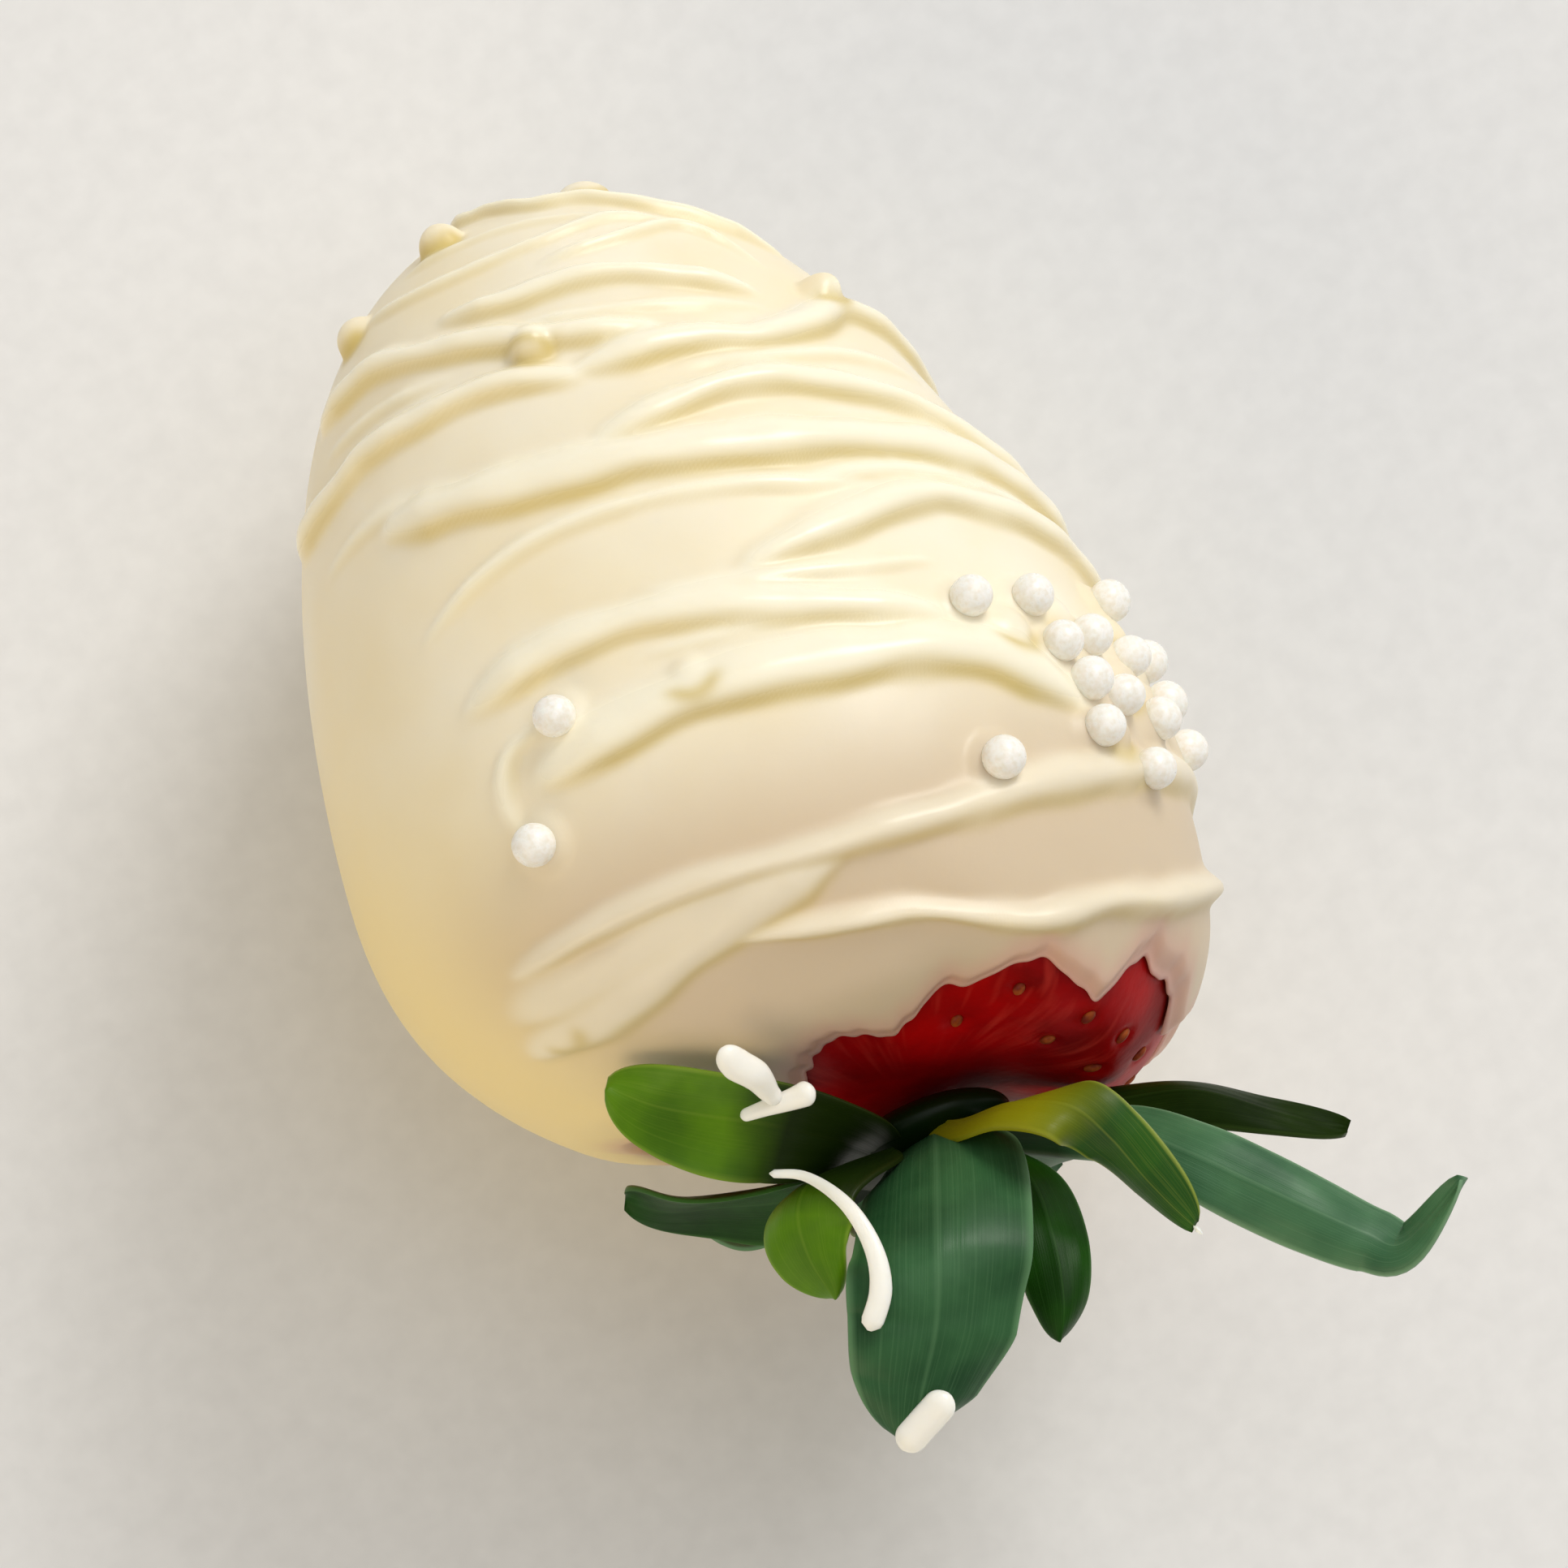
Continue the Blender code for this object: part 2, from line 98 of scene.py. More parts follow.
def set_node(node: Node, settings: dict[Any, Any], links: dict[Any, NodeSocket]) -> None:
    """Sets a shader node's values and feeds its inputs.

    Args:
        node: The node.
        settings: Values by property name, or by input name or number.
        links: Sockets that feed the node, by input name or number.
    """
    for key, value in settings.items():
        if isinstance(key, str) and key in node.bl_rna.properties:
            setattr(node, key, value)
        else:
            node.inputs[key].default_value = value
    for key, source in links.items():
        node.id_data.links.new(source, node.inputs[key])


def add_node(tree: NodeTree, kind: str, settings: dict[Any, Any] | None = None,
             links: dict[Any, NodeSocket] | None = None) -> Node:
    """Adds one shader node.

    Args:
        tree: Node tree that gets the node.
        kind: Blender's name for the kind of node.
        settings: Its values, as set_node takes them.
        links: Its feeds, as set_node takes them.

    Returns:
        The new node.
    """
    node = tree.nodes.new(kind)
    set_node(node, settings or {}, links or {})
    return node


def new_material(name: str) -> tuple[Material, NodeTree, Node, NodeSocket]:
    """Adds a material.

    Args:
        name: What the real material is and how its surface was made.

    Returns:
        The material, its node tree, its Principled shader, and each point's place on the object.
    """
    material = bpy.data.materials.new(name)
    material.use_nodes = True
    tree = material.node_tree
    place = add_node(tree, "ShaderNodeTexCoord").outputs["Object"]
    return material, tree, tree.nodes["Principled BSDF"], place


@dataclass(frozen=True)
class WhiteChocolate:
    """Melted white chocolate that set on the fruit: soft satin, a little see-through, with painted yellow
    shade.
    """

    name: str = "white chocolate, dipped"
    cream: str = "#F9F0D9"
    warm_cream: str = "#F6E8C6"
    thin_shaded_cream: str = "#D9C5A8"
    flank_shade_cream: str = "#F5DC96"
    drizzle_and_highlight_cream: str = "#FEF7E0"
    fold_shade_cream: str = "#CBB048"
    edge_pink: str = "#DAA394"
    cloud_mm: float = 9.0
    ripple_mm: float = 4.0
    grain_mm: float = 0.5

    def material(self) -> Material:
        """Builds the finish.

        Returns:
            Material that reads how thin or raised the chocolate is, and where shade is painted, at each
            point.
        """
        # Chocolate that set as it lay is satin, with broad soft highlights, and light sinks into it.
        material, tree, shader, place = new_material(self.name)
        cloud = add_node(tree, "ShaderNodeTexNoise", {"Scale": per_metre(self.cloud_mm), "Detail": 2.0},
                         {"Vector": place}).outputs[0]
        warmth = add_node(tree, "ShaderNodeMapRange", {1: 0.35, 2: 0.7}, {0: cloud}).outputs[0]
        colour = add_node(tree, "ShaderNodeMix",
                          {"data_type": "RGBA", 6: linear(self.cream), 7: linear(self.warm_cream)},
                          {0: warmth}).outputs[2]
        # Thin chocolate shows the fruit's grey pink; painted shade deepens it and yellows flanks and strand
        # feet.
        # Raised drizzle takes a whiter cream, partly a painted highlight.
        tints = {"thin": self.thin_shaded_cream, "flank": self.flank_shade_cream, "drizzle": self.drizzle_and_highlight_cream,
                 "fold_shade": self.fold_shade_cream, "edge": self.edge_pink}
        shares: dict[str, NodeSocket] = {}
        for name, tint in tints.items():
            shares[name] = add_node(tree, "ShaderNodeAttribute", {"attribute_name": name}).outputs["Fac"]
            colour = add_node(tree, "ShaderNodeMix", {"data_type": "RGBA", 7: linear(tint)},
                              {0: shares[name], 6: colour}).outputs[2]
        # Set chocolate keeps slow ripples where it ran, and a faint grain, drawn coarser than real so
        # that it shows.
        ripple = add_node(tree, "ShaderNodeTexNoise", {"Scale": per_metre(self.ripple_mm), "Detail": 1.0},
                          {"Vector": place}).outputs[0]
        grain = add_node(tree, "ShaderNodeTexNoise", {"Scale": per_metre(self.grain_mm), "Detail": 2.0},
                         {"Vector": place}).outputs[0]
        slow = add_node(tree, "ShaderNodeBump", {"Strength": 0.5, "Distance": 0.25 * MM}, {"Height": ripple})
        fine = add_node(tree, "ShaderNodeBump", {"Strength": 0.25, "Distance": 0.04 * MM},
                        {"Height": grain, "Normal": slow.outputs[0]})
        # The drizzle set last and untouched, so it shines more than the coat.
        rough = add_node(tree, "ShaderNodeMapRange", {2: 0.9, 3: 0.4, 4: 0.26},
                         {0: shares["drizzle"]}).outputs[0]
        set_node(shader, {"subsurface_method": "BURLEY", "Subsurface Weight": 0.4, "IOR": 1.45,
                          "Subsurface Radius": (1.0, 0.75, 0.35), "Subsurface Scale": 1.2 * MM},
                 {"Base Color": colour, "Normal": fine.outputs[0], "Roughness": rough})
        return material


@dataclass(frozen=True)
class PolishedSugar:
    """Panned sugar, tumbled smooth: bright white with a soft gloss."""

    white: str = "#FDFBF6"
    shade: str = "#F3EDE0"
    pit_mm: float = 0.3

    def material(self) -> Material:
        """Builds the finish.

        Returns:
            Material with soft, slightly broken highlights.
        """
        # Tumbling leaves tiny pits that break up the shine, drawn coarser than real so that they show.
        material, tree, shader, place = new_material("panned sugar, polished")
        pits = add_node(tree, "ShaderNodeTexNoise", {"Scale": per_metre(self.pit_mm), "Detail": 3.0},
                        {"Vector": place}).outputs[0]
        depth = add_node(tree, "ShaderNodeMapRange", {1: 0.4, 2: 0.7}, {0: pits}).outputs[0]
        colour = add_node(tree, "ShaderNodeMix",
                          {"data_type": "RGBA", 6: linear(self.white), 7: linear(self.shade)},
                          {0: depth}).outputs[2]
        bump = add_node(tree, "ShaderNodeBump", {"Strength": 0.3, "Distance": 0.03 * MM}, {"Height": pits})
        rough = add_node(tree, "ShaderNodeMapRange", {1: 0.3, 2: 0.7, 3: 0.25, 4: 0.4},
                         {0: pits}).outputs[0]
        set_node(shader, {"subsurface_method": "BURLEY", "Subsurface Weight": 0.2,
                          "Subsurface Scale": 0.4 * MM},
                 {"Base Color": colour, "Normal": bump.outputs[0], "Roughness": rough})
        return material


@dataclass(frozen=True)
class FruitSkin:
    """Ripe strawberry skin: thin, wet looking and deep red, with light scattered in the flesh below."""

    ripe: str = "#B20308"
    dark: str = "#780105"
    pale: str = "#C93A30"
    blotch_mm: float = 5.0
    pore_mm: float = 0.45
    streak_mm: float = 0.9
    streak_length_mm: float = 6.0

    def material(self) -> Material:
        """Builds the finish.

        Returns:
            Material that reads where each point lies round and along the fruit.
        """
        # Ripe skin is an uneven deep red with soft highlights, because light sinks into the flesh. Its
        # pores are drawn coarser than real so that they show.
        material, tree, shader, place = new_material("strawberry skin, ripe")
        blotch = add_node(tree, "ShaderNodeTexNoise", {"Scale": per_metre(self.blotch_mm), "Detail": 4.0},
                          {"Vector": place}).outputs[0]
        pores = add_node(tree, "ShaderNodeTexNoise", {"Scale": per_metre(self.pore_mm), "Detail": 2.0},
                         {"Vector": place}).outputs[0]
        # Paler threads run along the fruit below its skin, plainest on the shoulder, which ripens last.
        flow = {axis: add_node(tree, "ShaderNodeAttribute", {"attribute_name": name}).outputs["Fac"]
                for axis, name in (("X", "round_x"), ("Y", "round_y"), ("Z", "down"))}
        spot = add_node(tree, "ShaderNodeCombineXYZ", {}, flow).outputs[0]
        sizes = (per_metre(self.streak_mm), per_metre(self.streak_mm), per_metre(self.streak_length_mm))
        stretched = add_node(tree, "ShaderNodeMapping", {"Scale": sizes}, {"Vector": spot}).outputs[0]
        threads = add_node(tree, "ShaderNodeTexNoise", {"Scale": 1.0, "Detail": 2.0},
                           {"Vector": stretched}).outputs[0]
        shoulder = add_node(tree, "ShaderNodeAttribute", {"attribute_name": "streak"}).outputs["Fac"]
        thread = add_node(tree, "ShaderNodeMapRange", {1: 0.52, 2: 0.72}, {0: threads}).outputs[0]
        streak = add_node(tree, "ShaderNodeMath", {"operation": "MULTIPLY"},
                          {0: thread, 1: shoulder}).outputs[0]
        patch = add_node(tree, "ShaderNodeMapRange", {1: 0.35, 2: 0.65}, {0: blotch}).outputs[0]
        colour = add_node(tree, "ShaderNodeMix",
                          {"data_type": "RGBA", 6: linear(self.ripe), 7: linear(self.dark)},
                          {0: patch}).outputs[2]
        colour = add_node(tree, "ShaderNodeMix", {"data_type": "RGBA", 7: linear(self.pale)},
                          {0: streak, 6: colour}).outputs[2]
        rough = add_node(tree, "ShaderNodeMapRange", {1: 0.3, 2: 0.7, 3: 0.36, 4: 0.5},
                         {0: blotch}).outputs[0]
        bump = add_node(tree, "ShaderNodeBump", {"Strength": 0.35, "Distance": 0.06 * MM},
                        {"Height": pores})
        set_node(shader, {"Specular IOR Level": 0.08, "subsurface_method": "BURLEY",
                          "Subsurface Weight": 0.15, "Subsurface Radius": (1.0, 0.15, 0.1),
                          "Subsurface Scale": 1.0 * MM},
                 {"Base Color": colour, "Normal": bump.outputs[0], "Roughness": rough})
        return material


@dataclass(frozen=True)
class SeedHusk:
    """Dry seed husk: straw brown, darker in places, with a dull gloss."""

    straw: str = "#A8521C"
    brown: str = "#6A180A"
    mottle_mm: float = 0.6

    def material(self) -> Material:
        """Builds the finish.

        Returns:
            Material with a dry, mottled look beside the wet skin.
        """
        # Woody husk is mottled and scatters light, so seeds look dull on the shining skin.
        material, tree, shader, place = new_material("seed husk, dry")
        mottle = add_node(tree, "ShaderNodeTexNoise", {"Scale": per_metre(self.mottle_mm), "Detail": 2.0},
                          {"Vector": place}).outputs[0]
        patch = add_node(tree, "ShaderNodeMapRange", {1: 0.35, 2: 0.7}, {0: mottle}).outputs[0]
        colour = add_node(tree, "ShaderNodeMix",
                          {"data_type": "RGBA", 6: linear(self.straw), 7: linear(self.brown)},
                          {0: patch}).outputs[2]
        set_node(shader, {"Roughness": 0.5, "Specular IOR Level": 0.2}, {"Base Color": colour})
        return material


class LeafTone(Enum):
    """Colours of a leaf: blade, darker patches, rim and root, reach of the root's, and gloss."""

    # FRESH, YELLOW and DEEP differ in ripeness. The root colours are painted shade at the stalk, but YELLOW's
    # root is the leaf's own yellow.
    FRESH = ("#5F8C0C", "#426A08", "#8CA83A", "#0C1605", 0.56, 0.16)
    YELLOW = ("#2C5A16", "#1D4410", "#A9B44C", "#88880E", 0.62, 0.2)
    DEEP = ("#35613A", "#1F4626", "#6E9A6C", "#142A10", 0.2, 0.2)
    # Painted light: a paler, greyer copy of the leaf colours, for a leaf that catches the light.
    DUSTY = ("#4A7850", "#305C3B", "#82A880", "#1A3417", 0.2, 0.26)
    DARK = ("#1B4A08", "#103204", "#457332", "#081404", 0.3, 0.12)
    # Painted shade: a near black copy of the leaf colours, for a leaf in shadow.
    SHADED = ("#1E3008", "#101F04", "#3B4F22", "#070D03", 0.3, 0.04)


@dataclass(frozen=True)
class WaxyLeaf:
    """A living leaf with a waxed skin: soft gloss, fine veins along the blade and a paler rim."""

    tone: LeafTone
    vein_count: float = 60.0
    vein_runs: float = 1.6
    mottle_mm: float = 3.5

    def material(self) -> Material:
        """Builds the finish.

        Returns:
            Material that reads where each point lies across and along the blade.
        """
        blade, dark, rim, root, root_reach, gloss = self.tone.value
        # The wax gives a soft gloss, broken up by fine veins along the blade.
        material, tree, shader, place = new_material(f"leaf, waxy {self.tone.name.lower()}")
        across = add_node(tree, "ShaderNodeAttribute", {"attribute_name": "across"}).outputs["Fac"]
        along = add_node(tree, "ShaderNodeAttribute", {"attribute_name": "along"}).outputs["Fac"]
        spot = add_node(tree, "ShaderNodeCombineXYZ", {}, {"X": across, "Y": along})
        stretched = add_node(tree, "ShaderNodeMapping", {"Scale": (self.vein_count / 2, self.vein_runs, 1.0)},
                             {"Vector": spot.outputs[0]}).outputs[0]
        veins = add_node(tree, "ShaderNodeTexNoise", {"Scale": 1.0, "Detail": 3.0, "Roughness": 0.6},
                         {"Vector": stretched}).outputs[0]
        mottle = add_node(tree, "ShaderNodeTexNoise", {"Scale": per_metre(self.mottle_mm), "Detail": 3.0},
                          {"Vector": place}).outputs[0]
        edge = add_node(tree, "ShaderNodeMath", {"operation": "ABSOLUTE"}, {0: across}).outputs[0]
        patch = add_node(tree, "ShaderNodeMapRange", {1: 0.3, 2: 0.7}, {0: mottle}).outputs[0]
        colour = add_node(tree, "ShaderNodeMix", {"data_type": "RGBA", 6: linear(blade), 7: linear(dark)},
                          {0: patch}).outputs[2]
        # Veins, rim and midrib are paler. Toward the stalk, where the leaves crowd, the root colour paints
        # shade, but the ripest leaf turns its own yellow there.
        layers = (
            (veins, (0.5, 0.8, 0.0, 0.22), rim),
            (edge, (0.9, 1.0, 0.0, 0.6), rim),
            (edge, (0.0, 0.05, 0.2, 0.0), rim),
            (along, (0.65 * root_reach, root_reach, 0.94, 0.0), root),
        )
        for source, ends, tint in layers:
            share = add_node(tree, "ShaderNodeMapRange", dict(enumerate(ends, 1)), {0: source}).outputs[0]
            colour = add_node(tree, "ShaderNodeMix", {"data_type": "RGBA", 7: linear(tint)},
                              {0: share, 6: colour}).outputs[2]
        rough = add_node(tree, "ShaderNodeMapRange", {1: 0.3, 2: 0.7, 3: 0.3, 4: 0.45},
                         {0: mottle}).outputs[0]
        bump = add_node(tree, "ShaderNodeBump", {"Strength": 0.5, "Distance": 0.03 * MM}, {"Height": veins})
        set_node(shader, {"Specular IOR Level": gloss},
                 {"Base Color": colour, "Normal": bump.outputs[0], "Roughness": rough})
        return material


@dataclass(frozen=True)
class StudioPaper:
    """Matt paper under the fruit: pale and plain."""

    pale: str = "#E9E9EA"
    shade: str = "#E4E4E5"
    fibre_mm: float = 1.5

    def material(self) -> Material:
        """Builds the finish.

        Returns:
            Material of one pale tone, faintly clouded.
        """
        # Pressed fibres cloud the paper faintly and leave it without shine.
        material, tree, shader, place = new_material("studio paper, matt")
        fibre = add_node(tree, "ShaderNodeTexNoise", {"Scale": per_metre(self.fibre_mm)},
                         {"Vector": place}).outputs[0]
        cloud = add_node(tree, "ShaderNodeMapRange", {1: 0.3, 2: 0.7}, {0: fibre}).outputs[0]
        colour = add_node(tree, "ShaderNodeMix",
                          {"data_type": "RGBA", 6: linear(self.pale), 7: linear(self.shade)},
                          {0: cloud}).outputs[2]
        set_node(shader, {"Roughness": 0.9}, {"Base Color": colour})
        return material


@dataclass
class BerryForm:
    """The dipped berry's smooth outside, which everything else is measured from."""

    half_length: float = 25.5 * MM
    middle_height: float = 0.5 * MM
    waist_radius: float = 18.9 * MM
    shoulder_gain: float = 5.0 * MM
    end_gain: float = 4.3 * MM
    lean_from: float = -4.0 * MM
    lean_range: float = 20.0 * MM
    lean_shift: float = 1.5 * MM
    lean_slope: float = 0.12
    hip_drop: float = 3.2 * MM
    hip_from: float = -12.5 * MM
    hip_range: float = 10.0 * MM
    hip_side: float = 2.5 * MM
    hip_width: float = 8.0 * MM
    coat: float = 1.1 * MM
    gap: float = 0.3 * MM
    rim_thickness: float = 0.5 * MM
    rim_fade: float = 12.0
    rim_polar: float = 151.0
    rim_tilt: float = 7.0
    rim_tilt_turn: float = 125.0
    rim_teeth: Waves = ((2.0, 9.0, 0.6), (1.2, 16.0, 2.1))
    rim_bays: tuple[tuple[float, float, float], ...] = (
        (53.0, 13.0, -7.5), (24.0, 17.0, -5.2), (99.0, 8.0, 3.0), (136.0, 22.0, 3.4))
    nose_drop: float = math.radians(9.0)
    underside: float = 270.0
    foot_cut: float = 0.45 * MM

    @property
    def flesh_depth(self) -> float:
        """How far the flesh lies inside the smooth outside."""
        return self.coat + self.gap

    def skin(self, turn: Array | float, polar: Array | float) -> Array:
        """Points of the smooth outside.

        Args:
            turn: Turns round the berry.
            polar: Polar angles, of the same shape.

        Returns:
            Upright points, in the last axis.
        """
        turn, polar = np.radians(turn), np.radians(polar)
        along, out = np.cos(polar), np.sin(polar)
        radius = (self.waist_radius - self.shoulder_gain * along + self.end_gain * along * along) * out
        x, y = radius * np.cos(turn), -radius * np.sin(turn)
        z = self.middle_height + self.half_length * along
        lean = smooth((self.lean_from - z) / self.lean_range)
        hip = smooth((self.hip_from - z) / self.hip_range) * smooth((x - self.hip_side) / self.hip_width)
        drop = self.lean_slope * x * lean + self.hip_drop * hip
        return np.stack(np.broadcast_arrays(x + self.lean_shift * lean, y, z - drop), -1)

    def outward(self, turn: Array | float, polar: Array | float) -> Array:
        """Unit normals of the smooth outside.

        Args:
            turn: Turns round the berry.
            polar: Polar angles, of the same shape.

        Returns:
            Upright normals, in the last axis.
        """
        polar = np.clip(polar, 1.0, 179.0)
        down = self.skin(turn, polar + 0.5) - self.skin(turn, polar - 0.5)
        across = self.skin(turn + 0.5, polar) - self.skin(turn - 0.5, polar)
        return unit(np.cross(across, down))

    def over(self, turn: Array | float, polar: Array | float, height: Array | float) -> Array:
        """Points that stand a height above the smooth outside."""
        return self.skin(turn, polar) + self.outward(turn, polar) * np.asarray(height)[..., None]

    def behind(self, turn: float, radius: float, back: float) -> Array:
        """Finds a point behind the leaves' middle.

        Args:
            turn: Its turn.
            radius: How far out it is, in millimetres.
            back: How far behind the berry's blunt end it is, in millimetres.

        Returns:
            Upright point.
        """
        angle = math.radians(turn)
        away = (radius * math.cos(angle), -radius * math.sin(angle), -back)
        return self.skin(0.0, 180.0) + np.array(away) * MM

    def spots(self, route: Route, height: float) -> Array:
        """Points of a route that leaves or drips follow.

        Args:
            route: Places of three numbers, which stand free as behind gives them, or of two, a turn and a
                polar angle, which lie over the coat.
            height: How far those of two numbers stand off the coat.

        Returns:
            Upright points.
        """
        return np.array([self.behind(*place) if len(place) == 3 else self.over(*place, height)
                         for place in route])

    def rim(self, turn: Array | float) -> Array:
        """Polar angle at which the coat ends.

        Args:
            turn: Turns round the berry.

        Returns:
            Polar angles, of the same shape.
        """
        edge = self.rim_polar + self.rim_tilt * np.cos(np.radians(turn - self.rim_tilt_turn))
        edge = edge + waves(np.radians(turn), self.rim_teeth)
        for middle, reach, depth in self.rim_bays:
            away = (turn - middle + 180.0) % 360.0 - 180.0
            edge = edge + depth * np.exp(-((away / reach) ** 4))
        return edge

    def rim_level(self, turn: Array) -> Array:
        """Polar angle of the rim with its teeth evened out."""
        return np.mean([self.rim(turn + step) for step in np.linspace(-14.0, 14.0, 15)], axis=0)

    def laid_down(self) -> Matrix:
        """Finds how the upright berry lies on its side.

        Returns:
            Matrix that lays it down with its foot at the origin.
        """
        turned = Matrix.Rotation(-math.pi / 2 - self.nose_drop, 4, "X")
        spots = (turned @ Vector(self.skin(self.underside, float(polar))) for polar in range(40, 150))
        lowest = min(spots, key=lambda point: point.z)
        return Matrix.Translation((-lowest.x, -lowest.y, -lowest.z - self.foot_cut)) @ turned

    def lay(self, points: Array) -> Array:
        """Lays points down, flattened where they meet the floor.

        Args:
            points: Upright points.

        Returns:
            The same points as a list, lying.
        """
        matrix = np.array(self.laid_down())
        laid = points.reshape(-1, 3) @ matrix[:3, :3].T + matrix[:3, 3]
        laid[:, 2] = np.maximum(laid[:, 2], 0.0)
        return laid


def spread(points: Array, count: int) -> Array:
    """Points evenly numbered along a smooth curve through the given ones.

    Args:
        points: Points that the curve passes.
        count: How many points to return.

    Returns:
        Points of the curve, from the first given point to the last.
    """
    points = np.asarray(points, float)
    ends = np.vstack((points[0] * 2 - points[1], points, points[-1] * 2 - points[-2]))
    place = np.linspace(0, len(points) - 1, count)
    span = np.minimum(place.astype(int), len(points) - 2)
    part = (place - span)[:, None]
    before, first, second, after = (ends[span + step] for step in range(4))
    return 0.5 * (2 * first + (second - before) * part
                  + (2 * before - 5 * first + 4 * second - after) * part ** 2
                  + (3 * first - before - 3 * second + after) * part ** 3)


def new_piece(name: str, points: Array, faces: list, material: Material, node: str,
              values: dict[str, Array] | None = None) -> Object:
    """Makes a mesh piece that stands for a solid and rides with the strawberry.

    Args:
        name: The piece's name.
        points: Its points, already laid down.
        faces: Its faces as point numbers.
        material: Its finish.
        node: The solid that it stands for.
        values: A number for every point, by name, which the finish reads.

    Returns:
        The new object.
    """
    mesh = bpy.data.meshes.new(name)
    mesh.from_pydata(np.asarray(points).tolist(), [], faces)
    for key, numbers in (values or {}).items():
        layer = mesh.attributes.new(key, "FLOAT", "POINT")
        layer.data.foreach_set("value", np.ascontiguousarray(numbers, dtype=np.float32).ravel())
    mesh.materials.append(material)
    mesh.shade_smooth()
    mesh.update()
    piece = bpy.data.objects.new(name, mesh)
    bpy.context.scene.collection.objects.link(piece)
    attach(piece, "root")
    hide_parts(node)
    LOG.info("%s: %d faces", name, len(mesh.polygons))
    return piece


def ring_faces(rows: int, columns: int) -> list[list[int]]:
    """Faces between the rows of a grid that closes round its columns.

    Args:
        rows: Rows of the grid.
        columns: Points in a row.

    Returns:
        Faces that look outward where turns grow clockwise, seen from the first row's side.
    """
    row, column = np.meshgrid(np.arange(rows - 1) * columns, np.arange(columns), indexing="ij")
    after = (column + 1) % columns
    corners = (row + column, row + after, row + columns + after, row + columns + column)
    return np.stack(corners, -1).reshape(-1, 4).tolist()


def round_faces(rows: int, columns: int) -> list[list[int]]:
    """Faces of a grid that closes round its columns, with a pole point at each end.

    Args:
        rows: Rows of the grid, from the first pole to the last.
        columns: Points in a row.

    Returns:
        Faces that look outward, where the poles are the last two points.
    """
    first, last = rows * columns, rows * columns + 1
    base = (rows - 1) * columns
    faces = ring_faces(rows, columns)
    faces += [[first, (number + 1) % columns, number] for number in range(columns)]
    return faces + [[last, base + number, base + (number + 1) % columns] for number in range(columns)]


def balls(places: Array, ups: Array, sizes: Array, segments: int, rings: int) -> tuple[Array, list]:
    """Many small balls as one mesh.

    Args:
        places: Middles of the balls.
        ups: For each ball, its three axes as rows.
        sizes: For each ball, its radius along each axis.
        segments: Points round a ball.
        rings: Rows of faces from pole to pole.

    Returns:
        Points and faces, with a tiny flat face at each pole.
    """
    pole = 0.02
    polar = np.linspace(pole, math.pi - pole, rings + 1)
    turn = np.arange(segments) * math.tau / segments
    out, up = np.sin(polar)[:, None], np.cos(polar)[:, None]
    grid = np.stack(np.broadcast_arrays(out * np.cos(turn), -out * np.sin(turn), up), -1).reshape(-1, 3)
    caps = [list(reversed(range(segments))), [rings * segments + number for number in range(segments)]]
    ball = ring_faces(rings + 1, segments) + caps
    points, faces = [], []
    for number, (place, axes, size) in enumerate(zip(places, ups, sizes)):
        points.append(place + (grid * size) @ axes)
        faces += [[corner + number * len(grid) for corner in face] for face in ball]
    return np.concatenate(points), faces


@dataclass(frozen=True)
class Strand:
    """One strand of drizzle: its points as turn and polar angle, and its width and height in millimetres."""

    route: Route
    width: float
    height: float


STRANDS = (
    Strand(((118, 14), (93, 18), (76, 25), (60, 29), (42, 38), (22, 49)), 1.8, 0.7),
    Strand(((140, 34), (112, 37), (86, 38), (62, 37), (46, 42)), 1.3, 0.4),
    Strand(((86, 43), (67, 43), (49, 42), (41, 47), (38, 53)), 1.2, 0.5),
    Strand(((112, 45), (97, 48), (81, 49), (67, 52), (48, 58)), 2.0, 0.8),
    Strand(((156, 47), (133, 46), (119, 49), (103, 53), (91, 57), (72, 61)), 2.2, 0.9),
    Strand(((91, 63), (69, 64), (57, 66), (45, 65), (28, 62), (4, 66), (-26, 73)), 2.3, 0.9),
    Strand(((168, 61), (142, 59), (132, 58), (106, 60), (88, 64)), 2.0, 0.9),
    Strand(((92, 73), (75, 72), (63, 72), (52, 74), (30, 80), (2, 88), (-22, 94)), 2.1, 0.9),
    Strand(((133, 69), (107, 74), (82, 78), (57, 82), (29, 86), (-8, 93), (-38, 101)), 3.0, 1.0),
    Strand(((130, 85), (117, 82), (105, 81), (91, 82), (77, 84), (54, 89)), 1.2, 0.5),
    Strand(((80, 94), (67, 93), (49, 91), (39, 92), (14, 96), (-10, 102), (-33, 107)), 2.2, 0.9),
    Strand(((95, 92), (84, 95), (65, 98), (52, 99)), 1.1, 0.5),
    Strand(((126, 95), (110, 94), (92, 96), (70, 102), (54, 106)), 2.4, 0.9),
    Strand(((119, 106.5), (95, 106), (74, 108), (52, 111), (37, 118)), 3.3, 1.0),
    Strand(((124, 113), (125, 107), (121, 102), (111, 101)), 1.3, 0.5),
    Strand(((142, 126), (112, 127), (84, 129), (54, 126.5), (24, 124.5), (-4, 122), (-27, 124)), 1.9, 0.8),
    Strand(((155, 135), (134, 137), (108, 134), (84, 129)), 3.4, 0.6),
    Strand(((108, 136), (88, 139), (65.5, 140), (44.5, 137.5), (25.5, 136.5), (-10, 130.5)), 1.5, 0.9),
)
